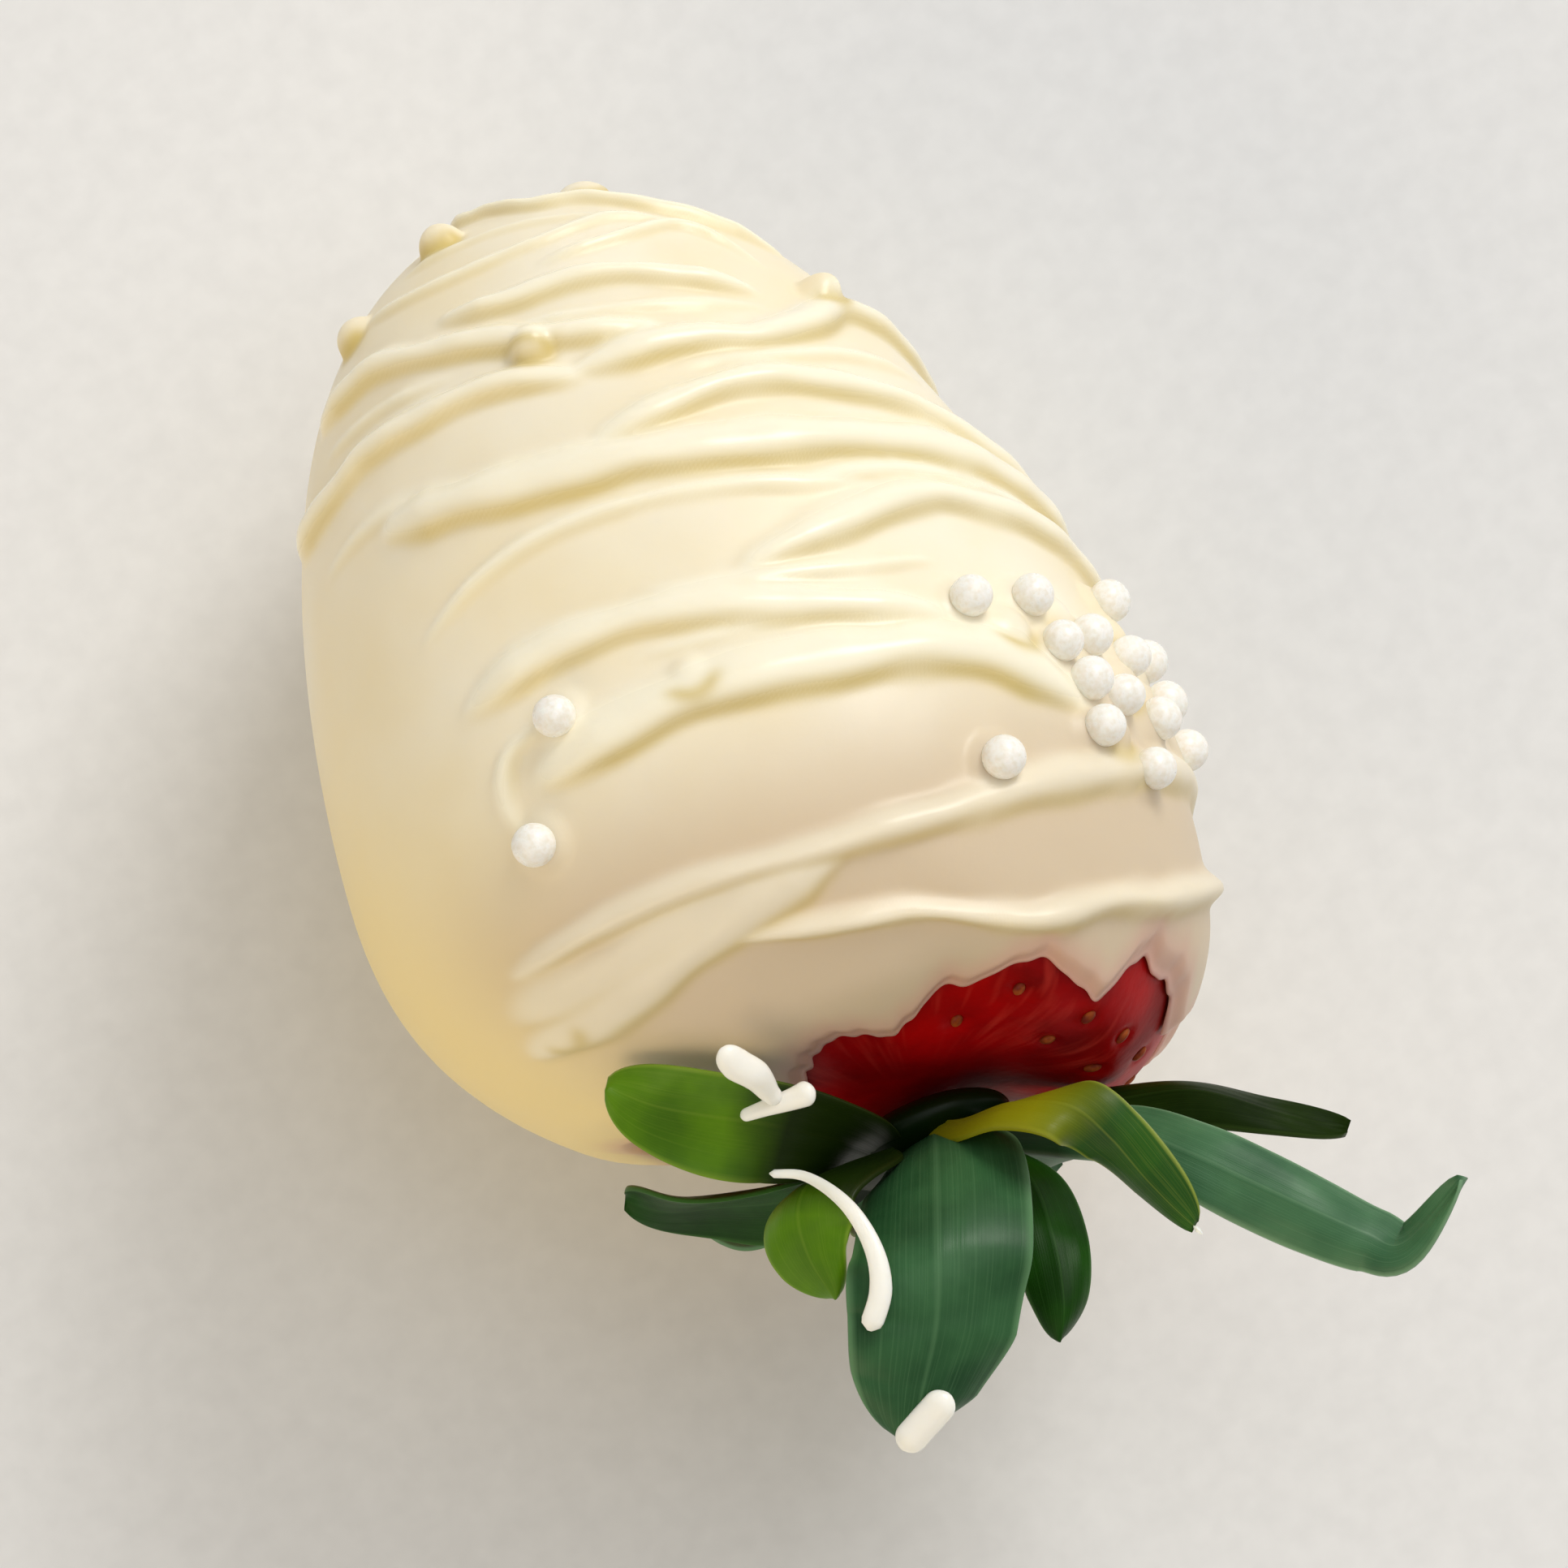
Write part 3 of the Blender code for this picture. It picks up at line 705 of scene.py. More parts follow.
FAINT_STRANDS = (
    Strand(((128, 28), (104, 29), (84, 31), (66, 35), (52, 40)), 1.0, 0.3),
    Strand(((100, 52), (84, 55), (66, 58), (50, 61)), 1.1, 0.35),
    Strand(((150, 53), (130, 53), (112, 55)), 1.2, 0.3),
    Strand(((74, 67), (58, 69), (40, 70), (22, 73)), 1.2, 0.35),
    Strand(((152, 68), (134, 67), (118, 69)), 1.4, 0.3),
    Strand(((70, 86), (50, 87), (30, 90), (6, 95)), 1.3, 0.4),
    Strand(((100, 99), (84, 101), (66, 104)), 1.0, 0.3),
    Strand(((150, 130), (130, 132), (108, 131), (88, 128.5)), 3.8, 0.42),
)


@dataclass(frozen=True)
class Pearl:
    """One sugar pearl by turn and polar angle, with how far its middle stands off the coat in millimetres."""

    turn: float
    polar: float
    stand: float


PEARLS = (
    Pearl(112, 101.5, 0.7), Pearl(123, 113.5, 0.7), Pearl(58, 123.5, 0.7), Pearl(51, 105, 0.8),
    Pearl(39.5, 105.5, 0.8), Pearl(15, 104, 0.8), Pearl(38, 111, 0.7), Pearl(30, 110, 0.7),
    Pearl(36, 115.5, 0.8), Pearl(29, 117, 0.7), Pearl(37.5, 121, 0.8), Pearl(11, 115.5, 0.8),
    Pearl(28, 125, 0.8), Pearl(20, 111.5, 0.7), Pearl(4, 109, 0.7), Pearl(2, 119, 0.7),
    Pearl(-15, 112, 0.6), Pearl(18.5, 118.5, 0.7),
)
SUNK_PEARLS = (
    Pearl(93, 104, -0.3), Pearl(113, 24, 0.1), Pearl(95, 57, 0.2), Pearl(32, 59.5, 0.4), Pearl(148, 34, -0.1),
)
CHOCOLATE_LUMPS = (
    Pearl(51, 24, -0.35), Pearl(45, 108.5, -0.3), Pearl(33.5, 107, -0.4), Pearl(24, 114.5, -0.2),
    Pearl(33, 121, -0.3), Pearl(144, 135, -0.7), Pearl(17, 108, -0.3),
)


@dataclass
class Coat:
    """The dipped coat with its drizzle, as one closed skin.

    Sizes without MM are in millimetres, and turn_size and polar_size are millimetres in a degree.
    """

    form: BerryForm
    turn_size: float = 0.33
    polar_size: float = 0.42
    path_steps: int = 60
    pearl_radius: float = PEARL_RADIUS_MM
    taper: float = 3.6
    end_width: float = 0.4
    end_height: float = 0.15
    swelling: Waves = ((0.1, 1.7 / 3.0, 1.0), (0.04, 1.3, 2.0))
    knobs: Waves = ((0.06, 0.7, 2.0), (0.03, 1.6, 5.0))
    foot_at: float = 0.86
    foot_reach: float = 0.26
    merging: float = 8.0
    drizzle_height: float = 0.35
    sunk_reach: float = 1.15
    lump_reach: float = 1.3
    collar: float = 0.5
    collar_reach: float = 1.7
    rows: int = 400
    inner_rows: int = 26
    fine_columns: int = 400
    coarse_columns: int = 40
    fine_turns: tuple[float, float] = (-50.0, 190.0)
    ragged: Waves = ((0.35, 37.0, 0.0), (0.2, 61.0, 1.0))
    ragged_from: float = 0.92
    rim_drop: float = 0.45 * MM
    rim_round: float = 1.3
    inner_depth: float = 0.1 * MM
    lip: tuple[tuple[float, float], ...] = ((0.5, -1.14), (0.6, -1.24), (0.1, -1.27))

    def turns(self) -> Array:
        """Spaces the columns, close together where there is drizzle.

        Returns:
            Turn of each column.
        """
        start, end = self.fine_turns
        fine = np.linspace(start, end, self.fine_columns, endpoint=False)
        return np.concatenate((fine, np.linspace(end, start + 360.0, self.coarse_columns, endpoint=False)))

    def ridge(self, index: int, line: Strand, turn: Array, polar: Array) -> tuple[Array, Array]:
        """Height of one strand over the coat, steep on the side away from the tip.

        Args:
            index: Number of the strand, which shifts its swelling.
            line: The strand.
            turn: Turns of the points.
            polar: Polar angles of the points.

        Returns:
            Heights in millimetres, 0 where the strand doesn't reach, and how near each point lies to
            its steep foot.
        """
        scale = np.array((self.turn_size, self.polar_size))
        path = spread(np.array(line.route) * scale, self.path_steps)
        lengths = np.concatenate(([0.0], np.cumsum(np.linalg.norm(np.diff(path, axis=0), axis=1))))
        spots = np.stack((turn, polar), -1) * scale
        near = np.all((spots > path.min(0) - line.width) & (spots < path.max(0) + line.width), axis=-1)
        close = spots[near]
        best = np.full(len(close), 1e9)
        reached = np.zeros(len(close))
        lower = np.zeros(len(close))
        for start, end, length in zip(path, path[1:], lengths):
            span = end - start
            part = np.clip((close - start) @ span / (span @ span), 0.0, 1.0)
            gap = close - start - part[:, None] * span
            distance = np.linalg.norm(gap, axis=1)
            nearer = distance < best
            best = np.where(nearer, distance, best)
            reached = np.where(nearer, length + part * np.linalg.norm(span), reached)
            lower = np.where(nearer, gap[:, 1] / np.maximum(distance, 1e-6), lower)
        from_end = np.clip(np.minimum(reached, lengths[-1] - reached) / self.taper, 0.0, 1.0)
        swell = 1.0 + waves(reached, self.swelling, index)
        full_width = self.end_width + (1.0 - self.end_width) * from_end ** 0.6
        full_height = self.end_height + (1.0 - self.end_height) * from_end ** 0.7
        # A strand reaches further and slopes more gently on its tip side, and folds under on the other.
        half = 0.5 * line.width * swell * full_width * (1.12 - 0.3 * lower)
        share = np.clip(best / half, 0.0, 1.5)
        round_top = np.clip(1.0 - share ** 2, 0.0, 1.0) ** (1.6 - 0.85 * lower)
        heights, foot = np.zeros(turn.shape), np.zeros(turn.shape)
        heights[near] = line.height * (0.95 + waves(reached, self.knobs, index)) * full_height * round_top
        # Painted shade: a yellow band along the foot on the side away from the tip, which turns from the
        # light.
        foot[near] = np.exp(-((share - self.foot_at) / self.foot_reach) ** 2)
        foot[near] *= smooth(1.6 * lower) * from_end ** 0.5
        foot *= 0.25 + 0.75 * line.height
        return heights, foot

    def bump(self, bead: Pearl, turn: Array, polar: Array, reach: float) -> tuple[Array, float]:
        """Measures points against a bead on the coat.

        Args:
            bead: The bead.
            turn: Turns of the points.
            polar: Polar angles of the points.
            reach: Radius that counts, in radii of a pearl.

        Returns:
            Each point's distance from the bead's middle, where 1 is the radius that counts, and how high
            the bead stands in millimetres.
        """
        away = (self.form.skin(turn, polar) - self.form.skin(bead.turn, bead.polar)) / MM
        return np.linalg.norm(away, axis=-1) / (reach * self.pearl_radius), self.pearl_radius + bead.stand

    def relief(self, turn: Array, polar: Array) -> tuple[Array, Array, Array]:
        """Height of all that lies on the coat, with what of it is drizzle and where shade is painted.

        Args:
            turn: Turns of the points.
            polar: Polar angles of the points.

        Returns:
            Heights in millimetres, and the shares of drizzle and of painted shade from 0 to 1.
        """
        total = np.zeros(turn.shape)
        parts = []
        for index, line in enumerate(STRANDS + FAINT_STRANDS):
            heights, foot = self.ridge(index, line, turn, polar)
            parts.append((heights, foot))
            total += heights ** self.merging
        total = total ** (1.0 / self.merging)
        drizzle = smooth(total / self.drizzle_height)
        # The painted yellow shade shows where no other strand lies over the foot.
        fold_shade = np.zeros(turn.shape)
        for heights, foot in parts:
            fold_shade = np.maximum(fold_shade, foot * (1.0 - smooth((total - heights - 0.05) / 0.2)))
        for bead in SUNK_PEARLS + CHOCOLATE_LUMPS:
            reach = self.sunk_reach if bead in SUNK_PEARLS else self.lump_reach
            distance, top = self.bump(bead, turn, polar, reach)
            total = np.maximum(total, top * np.clip(1.0 - distance ** 2, 0.0, 1.0) ** 0.7)
            # Painted shade below each sunk bead or lump, on the side away from the tip.
            under = smooth((polar - bead.polar) / 2.0) * np.exp(-((distance - 0.95) / 0.3) ** 2)
            fold_shade = np.maximum(fold_shade, 0.9 * under)
        for bead in PEARLS:
            distance, _ = self.bump(bead, turn, polar, 1.0)
            total = np.maximum(total, self.collar * smooth(self.collar_reach - distance))
        return total, drizzle, fold_shade

    @staticmethod
    def softened(values: Array) -> Array:
        """Evens out a grid's values with their neighbours, so that steep edges stay clean.

        Args:
            values: Numbers by row and column, where the columns close round.

        Returns:
            Evened numbers, of the same shape.
        """
        values = 0.25 * (np.roll(values, 1, 1) + 2 * values + np.roll(values, -1, 1))
        padded = np.concatenate((values[:1], values, values[-1:]))
        return 0.25 * (padded[:-2] + 2 * padded[1:-1] + padded[2:])

    def shares(self, turn: Array, polar: Array, from_rim: Array) -> dict[str, Array]:
        """Shares of the colours that follow from where a point lies, over ranges in degrees.

        Args:
            turn: Turns of the points.
            polar: Polar angles of the points.
            from_rim: How far each point lies from the rim, in millimetres.

        Returns:
            Shares from 0 to 1: where fruit shows through, with painted shade, the painted flank shade, and
                where it ends.
        """
        # The coat ran thin off the side that faces up; the flanks, turned from the light, take a painted warm
        # shade.
        facing = smooth((135.0 - np.abs(turn - 50.0)) / 45.0)
        flank = smooth((np.abs(turn - 90.0) - 30.0) / 50.0) * smooth((polar - 64.0) / 46.0)
        return {
            # Thin coat toward the rim, its grey pink deepened by painted shade.
            "thin": smooth((polar - 104.0) / 24.0) * facing,
            "flank": 0.9 * flank * (1.0 - facing * smooth((90.0 - turn) / 30.0)),
            "edge": 0.75 * smooth(1.0 - from_rim / 3.2),
        }

    def build(self, material: Material) -> Object:
        """Builds the coat: outside, rounded rim and inside.

        Args:
            material: Its finish.

        Returns:
            The piece.
        """
        form = self.form
        turns = self.turns()
        ragged = waves(np.radians(turns), self.ragged)
        rim = form.rim(turns) + ragged
        share = np.linspace(0.0, 1.0, self.rows + 1)[1:, None]
        turn = np.broadcast_to(turns, (self.rows, len(turns)))
        near_rim = smooth((share - self.ragged_from) / (1.0 - self.ragged_from))
        polar = share * (rim - ragged) + ragged * near_rim
        relief, drizzle, fold_shade = (self.softened(self.softened(values)) for values in self.relief(turn, polar))
        from_rim = (rim - polar) * self.polar_size
        # Dipped chocolate sags in slow swells round the fruit, which fade toward the tip.
        swell = 0.05 * np.sin(np.radians(turn) * 3 + polar / 17)
        swell = swell + 0.04 * np.sin(np.radians(turn) * 5 - polar / 9)
        swell *= np.sin(np.radians(np.minimum(polar, 90.0)))
        thinning = 1.0 - smooth((form.rim_level(turns) - polar) / form.rim_fade)
        height = (relief + swell - 0.04) * MM - (form.coat - form.rim_thickness) * thinning
        height -= self.rim_drop * smooth(1.0 - from_rim / self.rim_round)
        lip_beyond, lip_height = np.array(self.lip).T[:, :, None]
        inner_share = np.linspace(0.985, 0.02, self.inner_rows)[:, None]
        surfaces = (
            form.over(turn, polar, height),
            form.over(turns, rim + lip_beyond, lip_height * MM),
            form.over(turns, rim * inner_share, -form.coat - self.inner_depth),
            np.array((form.over(0.0, 0.0, 0.0), form.over(0.0, 0.0, -form.coat))),
        )
        points = np.concatenate([surface.reshape(-1, 3) for surface in surfaces])
        shares = self.shares(turn, polar, from_rim)
        shares["edge"] *= 1.0 - drizzle
        # Toward the leaves the drizzle's whiter, partly painted highlight and the painted fold shade both
        # fade.
        shares["drizzle"] = drizzle * (0.9 - 0.36 * smooth((polar - 114.0) / 12.0))
        shares["fold_shade"] = fold_shade * (0.95 - 0.15 * smooth((polar - 60.0) / 30.0))
        unseen = {name: np.full(len(points) - turn.size, float(name in ("thin", "edge"))) for name in shares}
        values = {name: np.append(seen, unseen[name]) for name, seen in shares.items()}
        rows = self.rows + len(self.lip) + self.inner_rows
        return new_piece("dipped_coat", form.lay(points), round_faces(rows, len(turns)), material,
                         "chocolate_shell", values)


@dataclass
class Pearls:
    """The sugar pearls that stuck in the chocolate."""

    form: BerryForm
    radius: float = PEARL_RADIUS_MM * MM
    segments: int = 28
    rings: int = 16

    def build(self, material: Material) -> Object:
        """Builds all the pearls as one piece.

        Args:
            material: Their finish.

        Returns:
            The piece.
        """
        places = np.array([self.form.over(bead.turn, bead.polar, bead.stand * MM) for bead in PEARLS])
        # Panned pearls aren't quite round, each in its own way.
        numbers = np.arange(len(PEARLS))
        sizes = self.radius * np.stack((1.0 + 0.03 * np.sin(numbers), 1.0 - 0.03 * np.cos(2 * numbers),
                                        1.0 - 0.04 * np.sin(3 * numbers)), -1)
        axes = np.broadcast_to(np.eye(3), (len(PEARLS), 3, 3))
        points, faces = balls(self.form.lay(places), axes, sizes, self.segments, self.rings)
        return new_piece("sugar_pearls", points, faces, material, "chocolate_shell")


@dataclass
class Flesh:
    """The fruit inside the coat, with its pitted shoulder and the seeds in the pits."""

    form: BerryForm
    seed_rows: tuple[float, ...] = (154.0, 162.0)
    seed_spacing: float = 4.2 * MM
    seed_clearance: float = 3.5
    seed_size: tuple[float, float, float] = (0.46, 0.28, 0.2)
    seed_sink: float = 0.1 * MM
    seed_segments: int = 14
    seed_rings: int = 8
    pit_radius: float = 1.0
    pit_depth: float = 0.2
    columns: int = 256
    coarse_polars: tuple[float, float, int] = (2.0, 135.0, 36)
    fine_polars: tuple[float, float, int] = (135.4, 179.6, 130)
    thread_radius: float = 15.0 * MM
    thread_length: float = 0.42 * MM

    def seeds(self) -> list[tuple[float, float]]:
        """Finds where the bare shoulder has seeds.

        Returns:
            Turn and polar angle of each seed.
        """
        found = []
        for row, polar in enumerate(self.seed_rows):
            ring = float(np.linalg.norm(self.form.skin(0.0, polar) - self.form.skin(180.0, polar))) * math.pi
            count = round(ring / self.seed_spacing)
            turns = [360.0 * (number + 0.5 * (row % 2)) / count for number in range(count)]
            found += [(turn, polar) for turn in turns if polar > self.form.rim(turn) + self.seed_clearance]
        return found

    def build(self, skin: Material, husk: Material) -> list[Object]:
        """Builds the flesh and its seeds.

        Args:
            skin: Finish of the flesh.
            husk: Finish of the seeds.

        Returns:
            The two pieces.
        """
        form = self.form
        turns = np.arange(self.columns) * 360.0 / self.columns
        polars = np.concatenate((np.linspace(*self.coarse_polars), np.linspace(*self.fine_polars)))
        polar, turn = np.meshgrid(polars, turns, indexing="ij")
        surface = form.over(turn, polar, -form.flesh_depth)
        pit = np.zeros(turn.shape)
        seeds = self.seeds()
        for seed in seeds:
            away = (surface - form.over(*seed, -form.flesh_depth)) / MM
            pit = np.maximum(pit, smooth(1.0 - np.linalg.norm(away, axis=-1) / self.pit_radius))
        # The skin's threads follow these, and show only on the shoulder, less so near the stalk.
        flow = {
            "streak": 0.45 * smooth((polar - 130.0) / 14.0) * smooth((172.0 - polar) / 10.0),
            "round_x": self.thread_radius * np.cos(np.radians(turn)),
            "round_y": self.thread_radius * np.sin(np.radians(turn)),
            "down": self.thread_length * polar,
        }
        points = form.over(turn, polar, -form.flesh_depth - self.pit_depth * MM * pit).reshape(-1, 3)
        poles = [form.over(0.0, polar_end, -form.flesh_depth) for polar_end in (0.0, 180.0)]
        flesh = new_piece("flesh", form.lay(np.concatenate((points, poles))),
                          round_faces(len(polars), len(turns)), skin, "berry",
                          {name: np.append(values, (0.0, 0.0)) for name, values in flow.items()})
        matrix = np.array(form.laid_down())[:3, :3]
        places, axes = [], []
        for seed_turn, seed_polar in seeds:
            up = form.outward(seed_turn, seed_polar)
            down = unit(form.skin(seed_turn, seed_polar + 1.0) - form.skin(seed_turn, seed_polar - 1.0))
            places.append(form.over(seed_turn, seed_polar, -form.flesh_depth - self.seed_sink))
            axes.append(np.array((down, np.cross(up, down), up)) @ matrix.T)
        sizes = np.broadcast_to(np.array(self.seed_size) * MM, (len(seeds), 3))
        points, faces = balls(form.lay(np.array(places)), np.array(axes), sizes,
                              self.seed_segments, self.seed_rings)
        return [flesh, new_piece("seeds", points, faces, husk, "berry")]


@dataclass(frozen=True)
class Blade:
    """One leaf: its middle line outward, half width in mm, roll at base and tip in degrees, and tone."""

    route: Route
    half_width: float
    roll_base: float
    roll_tip: float
    tone: LeafTone


BLADES = (
    Blade(((165, 2, 0.8), (122, 166), (129, 159), (136, 153.5), (140, 148), (142, 142.5)),
          2.8, 10, 20, LeafTone.FRESH),
    Blade(((112, 4.9, 1.8), (126, 7.4, 2), (132, 9.4, 2.6), (136, 10.3, 3.9), (138.5, 10.3, 5.6),
           (140.5, 9.4, 7.6)), 2.4, -20, -40, LeafTone.FRESH),
    Blade(((93, 1.5, 0.6), (85, 3.5, 1.6), (92, 6.5, 3.6), (102, 9.7, 8.2), (112, 9.7, 11.6),
           (126, 9.3, 13.8), (139.5, 9.3, 15.2)), 4.2, 0, -10, LeafTone.DEEP),
    Blade(((50, 1, 1), (47, 3.5, 3), (50, 5.6, 5.6), (58, 6.4, 8.8), (64, 6, 11.6), (69, 4.8, 13.4)),
          1.8, 10, 30, LeafTone.DARK),
    Blade(((80, 2, 0.5), (70.5, 5.3, 2), (62.5, 9, 2.9), (56, 11.4, 4.4), (48, 11.5, 6.4),
           (36.5, 11, 8.6), (24.5, 10.9, 10.8)), 1.7, 0, 60, LeafTone.YELLOW),
    # This leaf takes the paler copy of the leaf colours, painted light.
    Blade(((22, 2, 1.2), (14.5, 6.1, 3), (18.5, 9.4, 4.8), (19.5, 11.9, 7.4), (16, 13.8, 9.8),
           (12, 15.7, 12.1), (8, 17.6, 14.1), (9.5, 19.1, 15.3), (14, 23, 14)),
          1.9, 65, 80, LeafTone.DUSTY),
    Blade(((0, 2, 0.8), (0, 5.8, 1.5), (3, 9.3, 2.7), (4.5, 12.7, 4), (4, 15.7, 6.1), (0, 18.9, 8.1)),
          1.7, 50, 60, LeafTone.SHADED),
    Blade(((188, 2, 0.6), (192, 165), (194, 157), (195, 149)), 2.9, 10, 15, LeafTone.DARK),
    Blade(((224, 2, 0.6), (226, 165), (228, 156), (229, 147)), 3.0, 0, -10, LeafTone.DEEP),
    Blade(((262, 2, 0.7), (262, 165), (264, 156), (262, 147)), 3.0, 0, 10, LeafTone.FRESH),
    Blade(((306, 2, 0.7), (304, 165), (302, 156), (300, 148)), 2.8, 0, -10, LeafTone.DEEP),
)


@dataclass
class Calyx:
    """The green top: a cap with a cut stalk, and its leaves."""

    form: BerryForm
    cap_radius: float = 4.5 * MM
    cap_half_thickness: float = 1.5 * MM
    stalk_radius: float = 1.4 * MM
    stalk_length: float = 3.5 * MM
    thickness: float = 0.55 * MM
    edge_thickness: float = 0.35
    rib_width: float = 0.07
    rib_press: tuple[float, float] = (0.12, 0.2)
    lying_height: float = 1.7 * MM
    line_steps: int = 240
    cupping: float = 0.28
    ripple: float = 0.35 * MM
    rows: int = 72
    columns: int = 28
    cap_columns: int = 48

    def sheet(self, index: int, across: Array, share: Array, lift_by: Array) -> Array:
        """Points of a leaf's middle surface, upright.

        Args:
            index: Number of the leaf.
            across: From -1 at one edge to 1 at the other.
            share: From 0 at the base to 1 at the tip, of the same shape.
            lift_by: Distance above the surface in metres, of the same shape.

        Returns:
            Points, in the last axis.
        """
        blade = BLADES[index]
        count = self.line_steps
        route = self.form.spots(blade.route, self.lying_height)
        line = spread(route, count)
        facing = route[2] - route[0]
        around = unit(np.cross((0.0, 0.0, 1.0), (facing[0], facing[1], 0.0)))
        heading = unit(np.gradient(line, axis=0))
        roll = np.radians(np.linspace(blade.roll_base, blade.roll_tip, count))[:, None]
        side = unit(around - heading * (heading @ around)[:, None])
        side = side * np.cos(roll) + np.cross(heading, side) * np.sin(roll)
        lift = np.cross(side, heading)
        place = np.clip(share * (count - 1), 0, count - 1)
        below = np.minimum(place.astype(int), count - 2)
        part = (place - below)[..., None]
        middle, side, lift = (values[below] * (1 - part) + values[below + 1] * part
                              for values in (line, side, lift))
        # The outline starts blunt, is widest about its middle and closes in a short point.
        outline = 2.2 * (share + 0.03) ** 0.6 * (1.003 - share) ** 0.55
        width = blade.half_width * MM * outline
        ripple = self.ripple * np.sin(9.0 * share + 2.0 * across + index) * share
        rise = self.cupping * width * across ** 2 + ripple + lift_by
        return middle + side * (across * width)[..., None] + lift * rise[..., None]

    def leaf(self, index: int, material: Material) -> Object:
        """Builds one leaf with a pressed midrib, raised veins and thin edges.

        Args:
            index: Number of the leaf.
            material: Its finish.

        Returns:
            The piece.
        """
        edge = np.sin(np.linspace(-math.pi / 2, math.pi / 2, self.columns + 1))
        share, across = np.meshgrid(np.linspace(0.0, 1.0, self.rows + 1), edge, indexing="ij")
        rib = 0.6 * np.exp(-(across / self.rib_width) ** 2) * (1.0 - 0.7 * share)
        veins = 0.01 * np.sin(across * 17.0) * np.sin(math.pi * share) ** 0.5
        thickness = self.edge_thickness + (1.0 - self.edge_thickness) * (1.0 - across ** 2) ** 0.5
        half = 0.45 * self.thickness * thickness
        top, bottom = (self.sheet(index, across, share, way * half + (veins - press * rib) * MM)
                       for way, press in zip((1.0, -1.0), self.rib_press))
        rows, columns = share.shape
        number = np.arange(rows * columns).reshape(rows, columns)
        corners = (number[:-1, :-1], number[1:, :-1], number[1:, 1:], number[:-1, 1:])
        above = np.stack(corners, -1).reshape(-1, 4)
        below = above[:, ::-1] + rows * columns
        loop = np.concatenate((number[0, :], number[1:, -1], number[-1, -2::-1], number[-2:0:-1, 0]))
        after = np.roll(loop, -1)
        wall = np.stack((loop, after, after + rows * columns, loop + rows * columns), -1)
        points = self.form.lay(np.concatenate((top.reshape(-1, 3), bottom.reshape(-1, 3))))
        values = {"across": np.tile(across.ravel(), 2), "along": np.tile(share.ravel(), 2)}
        faces = np.concatenate((above, below, wall)).tolist()
        return new_piece(f"leaf_{index + 1}", points, faces, material, "calyx", values)

    def cap(self, material: Material) -> Object:
        """Builds the cap and its cut stalk as one turned piece.

        Args:
            material: Its finish.

        Returns:
            The piece.
        """
        form = self.form
        deep = form.flesh_depth - form.gap - self.cap_half_thickness
        middle = form.skin(0.0, 180.0) + np.array((0.0, 0.0, deep))
        # The cap's outline curls in behind, toward the stalk.
        arc = np.linspace(0.05, math.pi / 2 + 1.1, 22)
        profile = [(self.cap_radius * math.sin(angle), self.cap_half_thickness * math.cos(angle))
                   for angle in arc]
        # Below the cap comes the stalk: a flared neck, and a cut end that dried hollow.
        end = -self.stalk_length
        neck = ((1.15, -1.45 * MM), (1.0, -1.9 * MM), (1.0, end),
                (0.9, end - 0.12 * MM), (0.4, end + 0.1 * MM))
        profile += [(self.stalk_radius * share, height) for share, height in neck]
        turn = np.arange(self.cap_columns) * math.tau / self.cap_columns
        rings = [np.stack((radius * np.cos(turn), -radius * np.sin(turn), np.full(len(turn), height)), -1)
                 for radius, height in profile]
        poles = [(0.0, 0.0, self.cap_half_thickness), (0.0, 0.0, end + 0.1 * MM)]
        points = np.concatenate((*rings, poles)) + middle
        # The cap takes the leaves' near black root colour as painted shade; the stalk takes none and is
        # paler.
        stalk = smooth((middle[2] - self.cap_half_thickness - points[:, 2]) / MM)
        return new_piece("calyx_cap", form.lay(points), round_faces(len(profile), self.cap_columns), material,
                         "calyx", {"across": 0.5 + 0.45 * stalk, "along": 0.4 * stalk})

    def build(self) -> list[Object]:
        """Builds the cap and every leaf, each in its own tone.

        Returns:
            The pieces.
        """
        finishes = {tone: WaxyLeaf(tone).material() for tone in LeafTone}
        pieces = [self.cap(finishes[LeafTone.DARK])]
        return pieces + [self.leaf(index, finishes[blade.tone]) for index, blade in enumerate(BLADES)]


@dataclass(frozen=True)
class Drip:
    """Chocolate that fell on a leaf: the piece's name, its middle line, and its radii in millimetres."""

    name: str
    route: Route
    radii: tuple[float, ...]


DRIPS = (
    Drip("drip_blot", ((118, 145), (118, 147.5), (117, 150), (118, 153), (118, 154.5)),
         (0.6, 0.8, 0.75, 0.5, 0.4)),
    Drip("drip_tail", ((128, 154), (122, 154.5), (115, 155), (110, 155)), (0.3, 0.4, 0.55, 0.7)),
    Drip("drip_line", ((134, 11.4, 1.3), (126.5, 10.7, 2.3), (117, 11.6, 4.8), (115, 11.7, 7.3),
                       (117.5, 11.7, 9.3), (124, 11.9, 10.8)), (0.2, 0.25, 0.35, 0.45, 0.55, 0.55)),
    Drip("drip_rod", ((138.5, 9.8, 15.8), (118, 9.1, 14.7)), (0.8, 0.8)),
    Drip("drip_bead", ((26, 10.9, 11.2), (25.5, 11.1, 11.1)), (0.5, 0.5)),
)


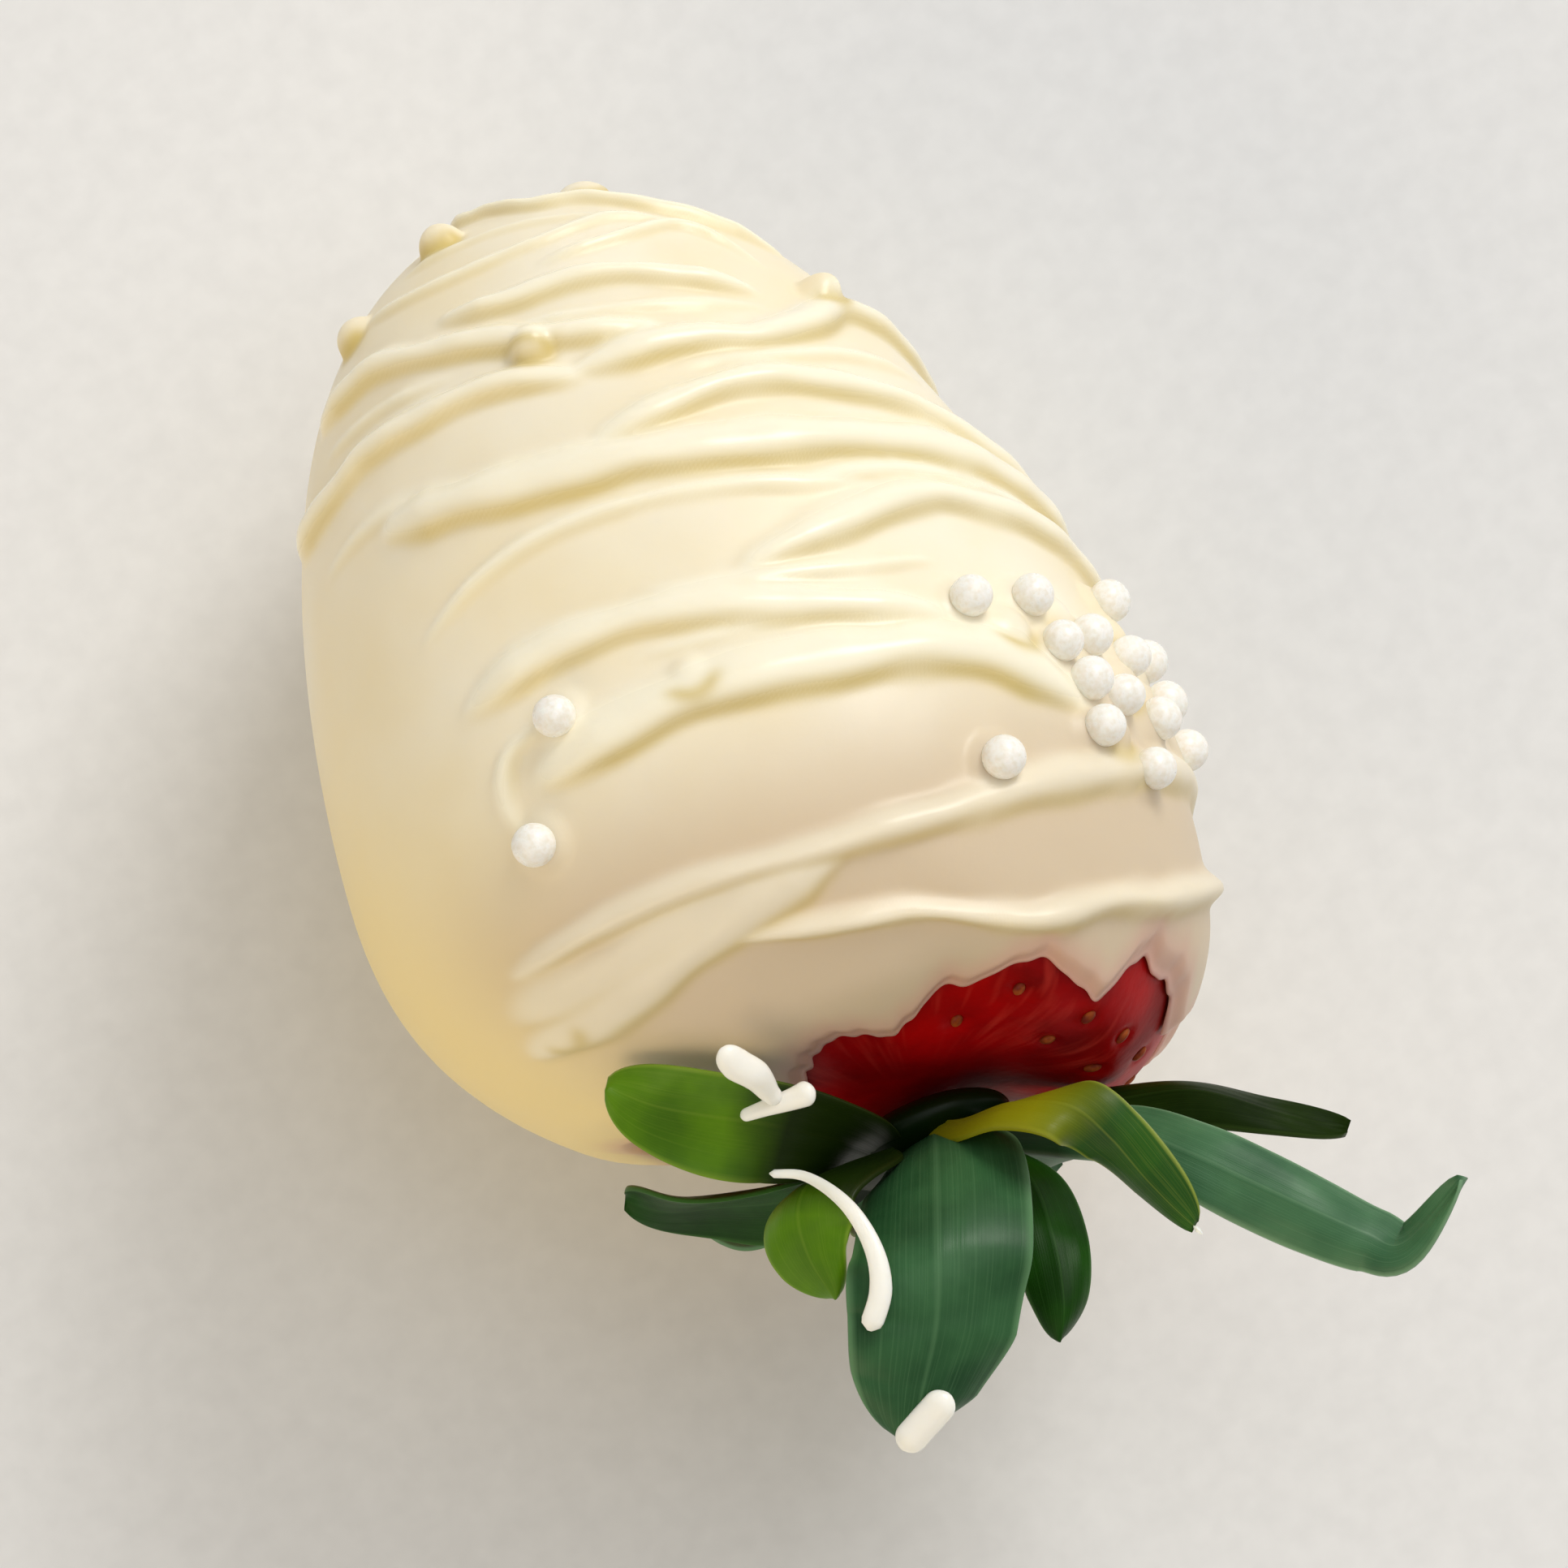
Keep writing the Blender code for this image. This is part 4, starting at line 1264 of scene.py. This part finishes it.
@dataclass
class Drips:
    """White chocolate that fell on the leaves."""

    form: BerryForm
    sides: int = 16
    steps: int = 40
    lift_over: float = 2.5 * MM
    flatness: float = 0.62

    def rope(self, drip: Drip, material: Material) -> Object:
        """Builds a round ended rope of chocolate along a line.

        Args:
            drip: Which one.
            material: Its finish.

        Returns:
            The piece.
        """
        path = spread(self.form.spots(drip.route, self.lift_over), self.steps)
        places = np.linspace(0, 1, len(drip.radii))
        radius = np.interp(np.linspace(0, 1, self.steps), places, drip.radii) * MM
        heading = unit(np.gradient(path, axis=0))
        side = unit(np.cross(heading, (0.0, 1.0, 0.2)))
        lift = np.cross(side, heading)
        length = np.concatenate(([0.0], np.cumsum(np.linalg.norm(np.diff(path, axis=0), axis=1))))
        away = np.minimum(length, length[-1] - length)
        size = radius * np.sqrt(1.0 - (1.0 - np.clip(away / radius, 0.02, 1.0)) ** 2)
        turn = (np.arange(self.sides) * math.tau / self.sides)[:, None]
        ring = side[:, None] * np.cos(turn) - self.flatness * lift[:, None] * np.sin(turn)
        rings = path[:, None] + size[:, None, None] * ring
        points = np.concatenate((rings.reshape(-1, 3), path[:1], path[-1:]))
        # Drips carry none of the painted shades, and take the whiter drizzle cream all over.
        values = dict.fromkeys(("thin", "flank", "fold_shade", "edge"), np.zeros(len(points)))
        values["drizzle"] = np.ones(len(points))
        return new_piece(drip.name, self.form.lay(points), round_faces(self.steps, self.sides), material,
                         "calyx", values)

    def build(self, material: Material) -> list[Object]:
        """Builds every drip."""
        return [self.rope(drip, material) for drip in DRIPS]


@dataclass(frozen=True)
class Lamp:
    """A soft square light: where it stands in degrees and metres, its size in metres, power and colour."""

    name: str
    azimuth: float
    elevation: float
    distance: float
    size: float
    power: float
    colour: str


LAMPS = (
    Lamp("key", azimuth=128.0, elevation=38.0, distance=1.2, size=0.5, power=7.0, colour="#FFFDF8"),
    Lamp("sky", azimuth=100.0, elevation=65.0, distance=1.4, size=1.2, power=4.4, colour="#FDFEFF"),
    Lamp("fill", azimuth=-58.0, elevation=28.0, distance=1.3, size=1.0, power=5.8, colour="#FFEAC2"),
)


@dataclass
class Studio:
    """A plain pale floor, soft light and a long lens at the photograph's angle."""

    azimuth: float = -23.0
    elevation: float = 81.0
    distance: float = 0.7
    view_size: float = 0.076
    sensor_size: float = 36.0
    target: tuple[float, float, float] = (2.2 * MM, -1.46 * MM, 20.02 * MM)
    floor_reach: float = 1.5
    sky_colour: str = "#FCFBF8"
    sky_strength: float = 0.42
    sight: float = 20.0

    @staticmethod
    def direction(azimuth: float, elevation: float) -> Vector:
        """Unit vector from the fruit to a place seen at this azimuth and elevation, in degrees."""
        turn, rise = math.radians(azimuth), math.radians(elevation)
        return Vector((math.sin(turn) * math.cos(rise), -math.cos(turn) * math.cos(rise), math.sin(rise)))

    def stand(self, name: str, data: Any, toward: Vector, place: Vector) -> Object:
        """Stands a light or camera somewhere, faced toward the fruit.

        Args:
            name: The object's name.
            data: The light or camera.
            toward: Direction from the fruit to it.
            place: Where it stands.

        Returns:
            The new object.
        """
        thing = bpy.data.objects.new(name, data)
        thing.location = place
        thing.rotation_euler = toward.to_track_quat("Z", "Y").to_euler()
        bpy.context.scene.collection.objects.link(thing)
        return thing

    def light(self, lamp: Lamp) -> None:
        """Adds a light that faces the fruit.

        Args:
            lamp: Which one.
        """
        data = bpy.data.lights.new(lamp.name, "AREA")
        data.size = lamp.size
        data.energy = lamp.power
        data.color = linear(lamp.colour)[:3]
        toward = self.direction(lamp.azimuth, lamp.elevation)
        self.stand(lamp.name, data, toward, toward * lamp.distance)

    def build(self) -> None:
        """Sets the floor, world, lights and camera."""
        mesh = bpy.data.meshes.new("floor")
        reach = self.floor_reach
        corners = [(-reach, -reach, 0), (reach, -reach, 0), (reach, reach, 0), (-reach, reach, 0)]
        mesh.from_pydata(corners, [], [(0, 1, 2, 3)])
        mesh.materials.append(StudioPaper().material())
        floor = bpy.data.objects.new("floor", mesh)
        bpy.context.scene.collection.objects.link(floor)
        world = bpy.data.worlds.new("studio")
        world.use_nodes = True
        sky = world.node_tree.nodes["Background"]
        sky.inputs["Color"].default_value = linear(self.sky_colour)
        sky.inputs["Strength"].default_value = self.sky_strength
        bpy.context.scene.world = world
        bpy.context.scene.view_settings.view_transform = "Standard"
        for lamp in LAMPS:
            self.light(lamp)
        toward = self.direction(self.azimuth, self.elevation)
        lens = bpy.data.cameras.new("camera")
        lens.sensor_width = self.sensor_size
        lens.lens = self.sensor_size * self.distance / self.view_size
        lens.clip_end = self.sight
        place = Vector(self.target) + toward * self.distance
        bpy.context.scene.camera = self.stand("camera", lens, toward, place)


def main() -> None:
    """Builds the strawberry's pieces and the studio."""
    logging.basicConfig(level=logging.INFO, format="%(message)s")
    form = BerryForm()
    Coat(form).build(WhiteChocolate().material())
    Pearls(form).build(PolishedSugar().material())
    Flesh(form).build(FruitSkin().material(), SeedHusk().material())
    Calyx(form).build()
    # The drips' whiter cream is partly a painted highlight.
    Drips(form).build(WhiteChocolate(name="white chocolate, dripped", drizzle_and_highlight_cream="#FBF9F1").material())
    Studio().build()


if __name__ == "__main__":
    main()
